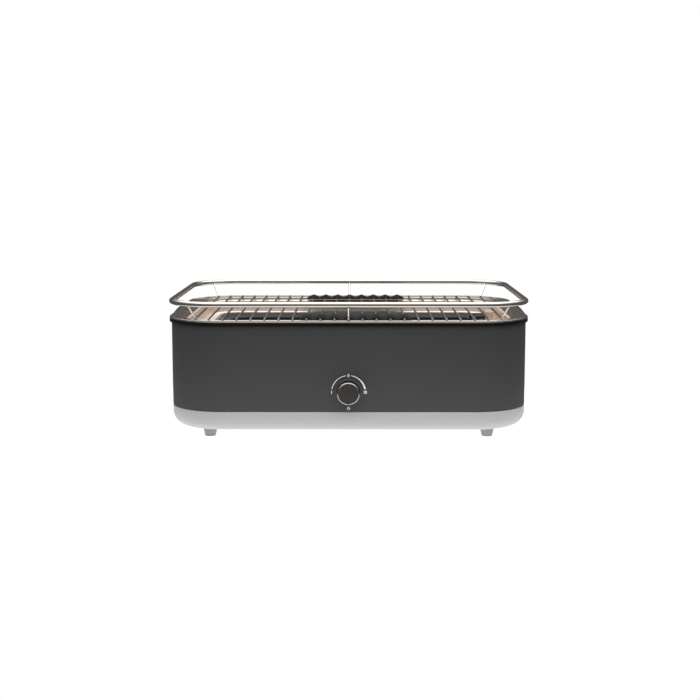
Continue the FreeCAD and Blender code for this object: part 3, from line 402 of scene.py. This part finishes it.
def bowl_finish():
    """Pressed steel: satin walls whose bright warm tone is partly painted light in the shaded bowl, and a
    polished rim whose bead is painted darker on top as a dark reflection.
    """
    material, tree, shader = blank_finish("bowl_steel", Metallic=1.0)
    split = tree.nodes.new("ShaderNodeSeparateXYZ")
    link(tree, object_place(tree), split.inputs[0])
    height = split.outputs["Z"]
    lines = place_effect(tree, DRAWN, BOWL_LINES)
    link(tree, lines["Normal"], shader.inputs["Normal"])
    add_lines = tree.nodes.new("ShaderNodeMath")
    add_lines.operation = "MULTIPLY_ADD"
    add_lines.use_clamp = True
    add_lines.inputs[1].default_value = BOWL_LINES_SHOW
    link(tree, lines["Lines"], add_lines.inputs[0])
    link(tree, ranged(tree, height, From_Min=RIM_FADE[0], From_Max=RIM_FADE[1]), add_lines.inputs[2])
    rim = add_lines.outputs["Value"]
    # The top of the bead is painted darker as a dark reflection, and the walls' tone is partly painted light
    painted_crown_reflection = ranged(tree, height, From_Min=CROWN_PAINTED_REFLECTION_FADE[0], From_Max=CROWN_PAINTED_REFLECTION_FADE[1])
    tone = blended(tree, painted_crown_reflection, blended(tree, rim, WALL_PAINTED_LIGHT_TONE, RIM_TONE), CROWN_PAINTED_REFLECTION_TONE)
    link(tree, tone, shader.inputs["Base Color"])
    link(tree, ranged(tree, rim, To_Min=WALL_ROUGH, To_Max=RIM_ROUGH), shader.inputs["Roughness"])
    return material


def grey(tone):
    """Neutral colour."""
    return (tone, tone, tone)


GRAINED = {
    "anthracite_paint": dict(
        dark=(0.082, 0.082, 0.085), light=(0.088, 0.088, 0.091), rough=(0.66, 0.76),
        scale=1400.0, height=0.3, patch_scale=9.0, Specular_IOR_Level=0.08,
    ),
    "bezel_paint": dict(
        dark=(0.070, 0.070, 0.073), light=(0.076, 0.076, 0.079), rough=(0.30, 0.38),
        scale=1400.0, height=0.1, patch_scale=30.0, Specular_IOR_Level=0.45,
    ),
    "base_plastic": dict(
        dark=grey(0.53), light=grey(0.56), rough=(0.42, 0.52),
        scale=1600.0, height=0.12, patch_scale=6.0, Specular_IOR_Level=0.4,
    ),
    "foot_plastic": dict(
        dark=grey(0.31), light=grey(0.35), rough=(0.45, 0.55), scale=1600.0, height=0.15, patch_scale=30.0,
    ),
    "pad_rubber": dict(
        dark=grey(0.38), light=grey(0.44), rough=(0.75, 0.9), scale=1200.0, height=0.3, patch_scale=60.0,
    ),
    "pan_coating": dict(
        dark=(0.155, 0.155, 0.156), light=(0.18, 0.18, 0.182), rough=(0.40, 0.52),
        scale=2200.0, height=0.25, patch_scale=20.0,
    ),
    "strip_enamel": dict(
        dark=grey(0.006), light=grey(0.010), rough=(0.35, 0.45),
        scale=900.0, height=0.12, patch_scale=25.0, Specular_IOR_Level=0.04,
    ),
    "element_sheath": dict(
        dark=(0.030, 0.028, 0.026), light=(0.055, 0.050, 0.046), rough=(0.42, 0.55),
        scale=700.0, height=0.2, patch_scale=30.0, Metallic=0.4,
    ),
    "head_plastic": dict(
        dark=(0.50, 0.40, 0.32), light=(0.58, 0.47, 0.38), rough=(0.4, 0.5),
        scale=1400.0, height=0.2, patch_scale=60.0,
    ),
    "contact_brass": dict(
        dark=(0.55, 0.40, 0.17), light=(0.68, 0.52, 0.26), rough=(0.25, 0.35),
        scale=700.0, height=0.05, patch_scale=90.0, Metallic=1.0,
    ),
    "grip_plastic": dict(
        dark=grey(0.010), light=grey(0.014), rough=(0.36, 0.44),
        scale=1500.0, height=0.15, patch_scale=25.0, Specular_IOR_Level=0.12,
    ),
    "screw_steel": dict(
        dark=(0.42, 0.42, 0.41), light=(0.52, 0.52, 0.50), rough=(0.28, 0.4),
        scale=700.0, height=0.1, patch_scale=60.0, Metallic=1.0,
    ),
    "knob_plastic": dict(
        dark=grey(0.006), light=grey(0.009), rough=(0.30, 0.40),
        scale=1800.0, height=0.15, patch_scale=40.0, Specular_IOR_Level=0.3,
    ),
    "face_plastic": dict(
        dark=(0.047, 0.042, 0.036), light=(0.054, 0.049, 0.042), rough=(0.36, 0.46),
        scale=1800.0, height=0.15, patch_scale=40.0, Specular_IOR_Level=0.3,
    ),
    "knob_chrome": dict(
        dark=(0.38, 0.38, 0.37), light=(0.44, 0.44, 0.43), rough=(0.16, 0.20),
        scale=300.0, height=0.02, patch_scale=60.0, Metallic=1.0,
    ),
    # The print glows a little: painted light that makes it brighter than the lamps alone would
    "dial_print": dict(
        dark=grey(0.88), light=grey(0.94), rough=(0.5, 0.6), scale=1500.0, height=0.05, patch_scale=60.0,
        Emission_Color=WHITE, Emission_Strength=0.25,
    ),
    "inlet_plastic": dict(
        dark=grey(0.014), light=grey(0.020), rough=(0.22, 0.32), scale=1400.0, height=0.1, patch_scale=40.0,
    ),
    "switch_plastic": dict(
        dark=(0.55, 0.51, 0.42), light=(0.62, 0.58, 0.49), rough=(0.45, 0.55),
        scale=1400.0, height=0.1, patch_scale=40.0,
    ),
    "lead_insulation": dict(
        dark=(0.05, 0.08, 0.20), light=(0.07, 0.10, 0.24), rough=(0.5, 0.6),
        scale=1000.0, height=0.1, patch_scale=60.0,
    ),
}
DRAWN_METALS = {
    "wire_chrome": dict(
        dark=(0.46, 0.41, 0.375), light=(0.56, 0.505, 0.46), rough=(0.26, 0.36),
        stretch=(14.0, 1.0, 14.0), scale=120.0, height=0.03, Specular_Tint=(0.40, 0.36, 0.33, 1.0),
    ),
    "guard_steel": dict(
        dark=(0.62, 0.60, 0.57), light=(0.66, 0.64, 0.61), rough=(0.08, 0.10),
        stretch=(1.0, 1.0, 8.0), scale=80.0, height=0.004,
    ),
    "post_steel": dict(
        dark=(0.86, 0.82, 0.78), light=(0.92, 0.88, 0.84), rough=(0.12, 0.16),
        stretch=(1.0, 1.0, 8.0), scale=80.0, height=0.004,
    ),
    "shield_aluminium": dict(
        dark=(0.72, 0.73, 0.74), light=(0.80, 0.81, 0.82), rough=(0.2, 0.32),
        stretch=(1.0, 30.0, 1.0), scale=40.0, height=0.08,
    ),
}
FINISH = {name: grained(name, **look) for name, look in GRAINED.items()}
FINISH |= {name: drawn(name, **look) for name, look in DRAWN_METALS.items()}
FINISH["bowl_steel"] = bowl_finish()


def dress_frame():
    """Give every solid of the frame its finish."""
    for part in frame["record"]["subparts"]:
        solid = frame["nodes"][part["node"]]
        solid.data.materials.clear()
        solid.data.materials.append(FINISH[part["material_slot"]])


# The grate

def loop_edge_y(x):
    """Half depth of the frame loop's middle line at a place along X."""
    half_x, half_y, corner = LOOP
    over = abs(x) - (half_x - corner)
    return half_y if over <= 0 else half_y - corner + math.sqrt(corner ** 2 - over ** 2)


def bar_places():
    """X and half length of every grate bar."""
    for k in range(-BARS_EACH_SIDE, BARS_EACH_SIDE + 1):
        x = k * BAR_PITCH
        yield x, loop_edge_y(x) + BAR_OVERHANG


def guard_ring():
    """Bright tube that runs round above the grate."""
    bm = bmesh.new()
    wire_round(bm, GUARD, GUARD_Z, GUARD_RADIUS, GUARD_SIDES, GUARD_CORNER_STEPS)
    make_piece("guard_ring_tube", bm, FINISH["guard_steel"], "rack", ("guard_ring",))


def frame_loop():
    """Wire that closes the grate's edge."""
    bm = bmesh.new()
    wire_round(bm, LOOP, LOOP_Z, LOOP_RADIUS, LOOP_SIDES, LOOP_CORNER_STEPS)
    make_piece("frame_loop", bm, FINISH["wire_chrome"], "rack", ("frame_wire",))


def grate_bars():
    """Straight bars with rounded ends."""
    bm = bmesh.new()
    for x, half in bar_places():
        front, rear = Vector((x, -half, BAR_Z)), Vector((x, half, BAR_Z))
        bar(bm, front, rear, BAR_RADIUS, BAR_RADIUS, BAR_SIDES)
    ends = [e for e in bm.edges if len({round(v.co.y, 3) for v in e.verts}) == 1]
    soften(bm, ends, *BAR_END_ROUND)
    make_piece("grate_bars", bm, FINISH["wire_chrome"], "rack", ("grate_rods",))


def grate_welds():
    """Small flattened lumps where the bars meet the frame loop."""
    bm = bmesh.new()
    meeting_z = (BAR_Z - BAR_RADIUS + LOOP_Z + LOOP_RADIUS) / 2
    for x, half in bar_places():
        for side in (-1, 1):
            place = Matrix.Translation((x, side * (half - BAR_OVERHANG), meeting_z))
            lump = place @ Matrix.Diagonal((*WELD_HALF_SIZE, 1.0))
            bmesh.ops.create_icosphere(bm, subdivisions=2, radius=1.0, matrix=lump)
    make_piece("grate_welds", bm, FINISH["wire_chrome"], "rack")


def post_ends():
    """Lower and upper end of each guard post."""
    half_x, half_y, corner = GUARD
    angle = math.radians(POST_CORNER_ANGLE)
    for k in (-BARS_EACH_SIDE, 0, BARS_EACH_SIDE):
        x = k * BAR_PITCH
        low_y = loop_edge_y(x) + BAR_OVERHANG - POST_RADIUS
        high_x, high_y = 0.0, half_y
        if k:
            high_x = math.copysign(half_x - corner + corner * math.cos(angle), x)
            high_y = half_y - corner + corner * math.sin(angle)
        for side in (-1, 1):
            yield Vector((x, side * low_y, BAR_Z + BAR_RADIUS)), Vector((high_x, side * high_y, GUARD_Z))


def guard_posts():
    """Bright posts with a small collar of weld at each end."""
    low_length, low_swell = LOW_COLLAR
    high_length, high_swell = HIGH_COLLAR
    bm = bmesh.new()
    for low, high in post_ends():
        along = (high - low).normalized()
        bottom = low - along * POST_INTO_BAR
        top = high - along * (GUARD_RADIUS - POST_INTO_GUARD)
        bar(bm, bottom, top, POST_RADIUS, POST_RADIUS, POST_SIDES)
        bar(bm, bottom, low + along * low_length, POST_RADIUS + low_swell, POST_RADIUS, POST_SIDES)
        bar(bm, top - along * high_length, top, POST_RADIUS, POST_RADIUS + high_swell, POST_SIDES)
    make_piece(
        "guard_post_set", bm, FINISH["post_steel"], "rack", ("guard_posts",), sharp=60.0,
    )


def ridge_strip(name, side, stands_for):
    """Corrugated black strip over the middle bars, at the front (-1) or the rear (1)."""
    first = STRIP_START_IN_PITCHES * BAR_PITCH
    low = LOOP_Z + LOOP_RADIUS
    outer = side * (loop_edge_y(0) + STRIP_PAST_LOOP)
    bm = bmesh.new()
    verts = [
        bm.verts.new((first + i * BAR_PITCH / 2, outer, low + (i % 2) * STRIP_RISE))
        for i in range(2 * STRIP_RIDGES + 1)
    ]
    for pair in zip(verts, verts[1:]):
        bm.edges.new(pair)
    round_corners(bm, verts[1:-1], *STRIP_FOLD)
    run(bm, bm.edges[:], (0, -side * STRIP_DEPTH, 0))
    bmesh.ops.recalc_face_normals(bm, faces=bm.faces[:])
    if bm.faces[0].normal.z < 0:
        bmesh.ops.reverse_faces(bm, faces=bm.faces[:])
    bmesh.ops.solidify(bm, geom=bm.faces[:], thickness=-STRIP_SHEET)
    make_piece(name, bm, FINISH["strip_enamel"], "rack", (stands_for,), sharp=50.0)


# Rim, dial and knob

def rim_trim():
    """Black trim band under the steel rim, with its outer corners rounded."""
    bm = bmesh.new()
    corners = ((TRIM_IN, TRIM_LOW), (TRIM_OUT, TRIM_LOW), (TRIM_OUT, TRIM_TOP), (TRIM_IN, TRIM_TOP))
    verts = [bm.verts.new((0, y, z)) for y, z in corners]
    for pair in zip(verts, verts[1:] + verts[:1]):
        bm.edges.new(pair)
    round_corners(bm, [verts[1]], *TRIM_FOOT_ROUND)
    round_corners(bm, [verts[2]], *TRIM_TOP_ROUND)
    go_round(bm, bm.edges[:], BODY, TRIM_CORNER_STEPS)
    make_piece(
        "rim_trim_band", bm, FINISH["grip_plastic"], "housing", ("rim_trim",), sharp=50.0,
    )


def dial_bezel():
    """Low ring round the knob, with its edges rounded and a sleeve through the wall."""
    bm = bmesh.new()
    lathe(bm, BEZEL_PROFILE, BEZEL_STEPS, closed=True)
    make_piece("dial_bezel_ring", bm, FINISH["bezel_paint"], "housing", ("dial_bezel",))


def round_dial(angle):
    """Turn about the dial's axis."""
    return Matrix.Rotation(math.radians(angle), 3, TOWARDS_USER)


def arc_mark(bm, start, end, width, end_width):
    """Flat arc of print between two angles, whose width grows evenly."""
    verts = [bm.verts.new(DIAL + ACROSS * (MARK_RADIUS + side * width / 2)) for side in (-1, 1)]
    line = [bm.edges.new(verts)]
    bmesh.ops.rotate(bm, verts=verts, cent=DIAL, matrix=round_dial(start))
    growth = (end_width / width) ** (1 / ARC_STEPS)
    for _ in range(ARC_STEPS):
        line = turn(bm, line, DIAL, TOWARDS_USER, (end - start) / ARC_STEPS, 1)
        middle = sum((v.co for v in line[0].verts), Vector()) / 2
        bmesh.ops.scale(
            bm, verts=list(line[0].verts), vec=(growth, growth, growth), space=Matrix.Translation(-middle),
        )


def numeral(bm, strokes, angle):
    """Numeral of upright strokes at an angle of the dial."""
    place = DIAL + round_dial(angle) @ (ACROSS * MARK_RADIUS)
    size = Matrix.Diagonal((STROKE_HALF_WIDTH, STROKE_HALF_HEIGHT, 1, 1))
    for i in range(strokes):
        shift = ACROSS * ((i - (strokes - 1) / 2) * STROKE_PITCH)
        shape = Matrix.Translation(place + shift) @ UPRIGHT @ size
        bmesh.ops.create_grid(bm, x_segments=1, y_segments=1, size=1.0, matrix=shape)


def off_diamond(bm):
    """Small open diamond under the knob."""
    place = Matrix.Translation(DIAL - Vector((0, 0, MARK_RADIUS - DIAMOND_RAISED)))
    shape = place @ Matrix.Rotation(math.radians(45), 4, "Y") @ UPRIGHT
    made = bmesh.ops.create_grid(bm, x_segments=1, y_segments=1, size=DIAMOND_HALF_SIDE, matrix=shape)
    inner = list({f for v in made["verts"] for f in v.link_faces})
    bmesh.ops.inset_region(bm, faces=inner, thickness=DIAMOND_LINE, depth=0.0, use_boundary=True)
    bmesh.ops.delete(bm, geom=inner, context="FACES")


def dial_marks():
    """Printed marks: I, II and III, an arc to each step and a small diamond for off."""
    bm = bmesh.new()
    for arc in ARCS:
        arc_mark(bm, *arc)
    for strokes, angle in NUMERALS:
        numeral(bm, strokes, angle)
    off_diamond(bm)
    raised = bmesh.ops.extrude_face_region(bm, geom=bm.faces[:])["geom"]
    front = [g for g in raised if isinstance(g, bmesh.types.BMVert)]
    bmesh.ops.translate(bm, verts=front, vec=TOWARDS_USER * PRINT_THICKNESS)
    make_piece(
        "dial_print_marks", bm, FINISH["dial_print"], "housing", ("dial_marks",), sharp=30.0,
    )


def knob_shell():
    """Knob: hollow from behind, with a hub for the shaft."""
    inner = KNOB_RADIUS - KNOB_WALL
    bore_end, hollow_end = KNOB_FRONT - BORE_CAP, KNOB_FRONT - KNOB_WALL
    profile = [(0, bore_end), (SHAFT_BORE, bore_end), (SHAFT_BORE, KNOB_BACK), (HUB_RADIUS, KNOB_BACK)]
    profile += [(HUB_RADIUS, hollow_end), (inner, hollow_end), (inner, KNOB_BACK)]
    profile += [(KNOB_RADIUS - inside, KNOB_BACK + over) for inside, over in KNOB_BACK_EDGE]
    profile += [(KNOB_RADIUS - inside, KNOB_FRONT + over) for inside, over in KNOB_FRONT_EDGE]
    profile += [(0, KNOB_FRONT)]
    bm = bmesh.new()
    lathe(bm, profile, KNOB_STEPS)
    make_piece("knob_shell", bm, FINISH["knob_plastic"], "knob", ("knob_body",), sharp=30.0)


def knob_ring():
    """Bright bevelled ring, with the pointer's gap at its foot."""
    edge = KNOB_RADIUS - KNOB_RING_INSET
    points = [(FACE_RADIUS, KNOB_FRONT)]
    points += [(edge - inside, KNOB_FRONT + over) for inside, over in KNOB_RING_OUTSIDE]
    points += [(FACE_RADIUS + outside, KNOB_RING_FRONT - under) for outside, under in KNOB_RING_INSIDE]
    bm = bmesh.new()
    down = Vector((0, 0, -1))
    verts = [bm.verts.new(DIAL + down * radius + TOWARDS_USER * height) for radius, height in points]
    bm.faces.new(verts)
    bmesh.ops.rotate(bm, verts=verts, cent=DIAL, matrix=round_dial(POINTER_GAP / 2))
    bmesh.ops.spin(
        bm, geom=bm.verts[:] + bm.edges[:] + bm.faces[:], cent=DIAL, axis=TOWARDS_USER,
        angle=math.radians(360 - POINTER_GAP), steps=KNOB_STEPS, use_duplicate=False,
    )
    make_piece(
        "knob_bright_ring", bm, FINISH["knob_chrome"], "knob", ("knob_ring",), sharp=30.0,
    )


def pointer_inlay():
    """Black line in the pointer's slot."""
    bm = bmesh.new()
    centre = DIAL + TOWARDS_USER * (KNOB_RING_FRONT - INLAY_BEHIND_FRONT) - Vector((0, 0, INLAY_UNDER_AXIS))
    shape = Matrix.Translation(centre) @ Matrix.Diagonal((*INLAY_SIZE, 1))
    bmesh.ops.create_cube(bm, size=1.0, matrix=shape)
    soften(bm, bm.edges[:], *INLAY_EDGE)
    make_piece("pointer_inlay", bm, FINISH["knob_plastic"], "knob")


# Moulded parts that keep the frame's shape, with their edges broken

def outer_top_edges(bm):
    """Edges round the top of a part that follow the body's outline."""
    half_x, half_y, corner = BODY
    top = max(v.co.z for v in bm.verts)

    def on_outline(co):
        past = Vector((max(abs(co.x) - half_x + corner, 0), max(abs(co.y) - half_y + corner, 0)))
        return co.z > top - TOP_SLACK and past.length > corner - OUTLINE_SLACK

    return [e for e in bm.edges if all(on_outline(v.co) for v in e.verts)]


def softened(name, node, slot, edge, top_edge=None):
    """Copy of a solid with its sharp edges rounded off, and more so round the top of its outer wall."""
    bm = bmesh.new()
    bm.from_mesh(frame["nodes"][node].data)
    bmesh.ops.scale(bm, verts=bm.verts[:], vec=(1 / MM, 1 / MM, 1 / MM))
    bmesh.ops.remove_doubles(bm, verts=bm.verts[:], dist=SEAM_MERGE)
    bmesh.ops.dissolve_limit(
        bm, angle_limit=math.radians(FLAT_ANGLE), use_dissolve_boundaries=False,
        verts=bm.verts[:], edges=bm.edges[:],
    )
    if top_edge:
        soften(bm, outer_top_edges(bm), *top_edge)
    sharp = [e for e in bm.edges if e.is_manifold and e.calc_face_angle(0.0) > math.radians(SHARP_ANGLE)]
    soften(bm, sharp, *edge)
    body = next(b for b, nodes in BODY_NODES.items() if node in nodes)
    make_piece(name, bm, FINISH[slot], body, (node,), sharp=40.0)


# Screws

def cross_recess(bm, top, seat, towards, head, height):
    """Sink a cross into the flat top of a screw's head."""
    side = towards.cross(ACROSS)
    half = head * RECESS_HALF_WIDTH
    for direction, offset in ((ACROSS, half), (ACROSS, -half), (side, half), (side, -half)):
        geom = top + list({e for f in top for e in f.edges}) + list({v for f in top for v in f.verts})
        cut = bmesh.ops.bisect_plane(
            bm, geom=geom, dist=CUT_SLACK, plane_co=seat + direction * offset, plane_no=direction,
        )
        top = [g for g in cut["geom"] if isinstance(g, bmesh.types.BMFace)]
    cross = []
    for face in top:
        away = face.calc_center_median() - seat
        if min(abs(away.dot(ACROSS)), abs(away.dot(side))) < half:
            cross.append(face)
    bmesh.ops.inset_region(bm, faces=cross, thickness=head * RECESS_INSET, depth=0.0, use_even_offset=True)
    sunk = bmesh.ops.extrude_face_region(bm, geom=cross)["geom"]
    bottom = [g for g in sunk if isinstance(g, bmesh.types.BMVert)]
    bmesh.ops.translate(bm, verts=bottom, vec=-towards * height * RECESS_DEPTH)
    bmesh.ops.delete(bm, geom=cross, context="FACES_KEEP_BOUNDARY")


def screw(bm, seat, towards, head, height, shank, length):
    """Pan-head screw with a cross recess; its head stands on a seat and looks one way."""
    old = set(bm.verts)
    tip_radius, tip_length = shank * TIP_RADIUS, shank * TIP_LENGTH
    profile = [(0, -length), (tip_radius, -length), (shank, tip_length - length), (shank, 0)]
    profile += [(head * across, height * up) for across, up in SCREW_HEAD]
    lathe(bm, profile, SCREW_STEPS, seat, towards)
    new = [v for v in bm.verts if v not in old]
    rim = [v for v in new if abs((v.co - seat).dot(towards) - height) < HEAD_SLACK]
    bmesh.ops.remove_doubles(bm, verts=new, dist=SCREW_MERGE)
    rim = [v for v in rim if v.is_valid]
    top = bmesh.ops.contextual_create(bm, geom=rim)["faces"]
    cross_recess(bm, top, seat, towards, head, height)


def screw_set(name, seats, towards, size, stands_for):
    """Screws of one size that look one way."""
    bm = bmesh.new()
    for seat in seats:
        screw(bm, Vector(seat), Vector(towards), *size)
    make_piece(name, bm, FINISH["screw_steel"], "housing", (stands_for,), sharp=35.0)


# Stage

def floor():
    """Round white floor that glows, so that the shadow stays light.

    It is small, so that the knob's bright ring mirrors the dark of the room at its sides.
    """
    bm = bmesh.new()
    bmesh.ops.create_circle(bm, cap_ends=True, segments=FLOOR_SIDES, radius=FLOOR_RADIUS)
    mesh = bpy.data.meshes.new("floor")
    bm.to_mesh(mesh)
    bm.free()
    material, _, _ = blank_finish(
        "floor_white", Base_Color=(*grey(FLOOR_TONE), 1.0), Roughness=FLOOR_ROUGH,
        Emission_Color=WHITE, Emission_Strength=FLOOR_GLOW,
    )
    mesh.materials.append(material)
    stage = bpy.data.objects.new("floor", mesh)
    bpy.context.scene.collection.objects.link(stage)


def room():
    """White backdrop for the camera, and for all else a room that is bright above and dark at eye level."""
    world = bpy.data.worlds.new("studio_room")
    bpy.context.scene.world = world
    world.use_nodes = True
    tree = world.node_tree
    seen = tree.nodes["Background"]
    place = tree.nodes.new("ShaderNodeTexCoord")
    split = tree.nodes.new("ShaderNodeSeparateXYZ")
    shade = tree.nodes.new("ShaderNodeValToRGB")
    for stop, (position, tone) in zip(shade.color_ramp.elements, (ROOM_DARK, ROOM_BRIGHT)):
        stop.position = position
        stop.color = (*tone, 1.0)
    link(tree, place.outputs["Generated"], split.inputs[0])
    link(tree, split.outputs["Z"], shade.inputs["Fac"])
    link(tree, shade.outputs["Color"], seen.inputs["Color"])
    backdrop = tree.nodes.new("ShaderNodeBackground")
    backdrop.inputs["Color"].default_value = WHITE
    path = tree.nodes.new("ShaderNodeLightPath")
    chosen = tree.nodes.new("ShaderNodeMixShader")
    link(tree, path.outputs["Is Camera Ray"], chosen.inputs[0])
    link(tree, seen.outputs["Background"], chosen.inputs[1])
    link(tree, backdrop.outputs["Background"], chosen.inputs[2])
    link(tree, chosen.outputs["Shader"], tree.nodes["World Output"].inputs["Surface"])


def top_light():
    """Large soft light above."""
    data = bpy.data.lights.new("top_light", "AREA")
    data.shape = "RECTANGLE"
    data.size, data.size_y = LIGHT_SIZE
    data.energy = LIGHT_WATTS
    light = bpy.data.objects.new("top_light", data)
    light.location = LIGHT_PLACE
    light.rotation_euler = (Vector(LIGHT_AIM) - Vector(LIGHT_PLACE)).to_track_quat("-Z", "Y").to_euler()
    bpy.context.scene.collection.objects.link(light)


def photo_camera():
    """Camera at the photograph's viewing angle."""
    camera = bpy.data.objects.new("camera", bpy.data.cameras.new("camera"))
    camera.data.lens = LENS_MM
    camera.data.sensor_width = SENSOR_WIDTH_MM
    camera.location = CAMERA_PLACE
    camera.rotation_euler = CAMERA_TURN
    bpy.context.scene.collection.objects.link(camera)
    bpy.context.scene.camera = camera
    bpy.context.scene.view_settings.view_transform = "Standard"


room()
top_light()
photo_camera()
floor()
dress_frame()
guard_ring()
frame_loop()
grate_bars()
grate_welds()
guard_posts()
ridge_strip("ridge_strip_sheet_front", -1, "ridge_strip_front")
ridge_strip("ridge_strip_sheet_rear", 1, "ridge_strip_rear")
rim_trim()
dial_bezel()
dial_marks()
knob_shell()
knob_ring()
pointer_inlay()
base_screw_seats = [(x, y, BASE_SCREW_Z) for x, y in BASE_SCREW_PLACES]
screw_set("base_screw_set", base_screw_seats, (0, 0, -1), BASE_SCREW, "base_screws")
screw_set("inlet_screw_set", INLET_SCREW_SEATS, (0, 1, 0), INLET_SCREW, "inlet_screws")
softened("base_tray_shell", "base_tray", "base_plastic", BASE_EDGE, BASE_TOP_EDGE)
softened("side_grip_shell_left", "side_grip_left", "grip_plastic", GRIP_EDGE)
softened("side_grip_shell_right", "side_grip_right", "grip_plastic", GRIP_EDGE)
softened("inlet_shell", "mains_inlet", "inlet_plastic", INLET_EDGE)
softened("element_head_block", "element_head", "head_plastic", HEAD_EDGE)
softened("element_socket_block", "element_socket", "head_plastic", SOCKET_EDGE)
for corner in ("front_left", "front_right", "rear_left", "rear_right"):
    softened("foot_cone_" + corner, "foot_" + corner, "foot_plastic", FOOT_EDGE)
    softened("foot_sole_" + corner, "foot_pad_" + corner, "pad_rubber", FOOT_EDGE)
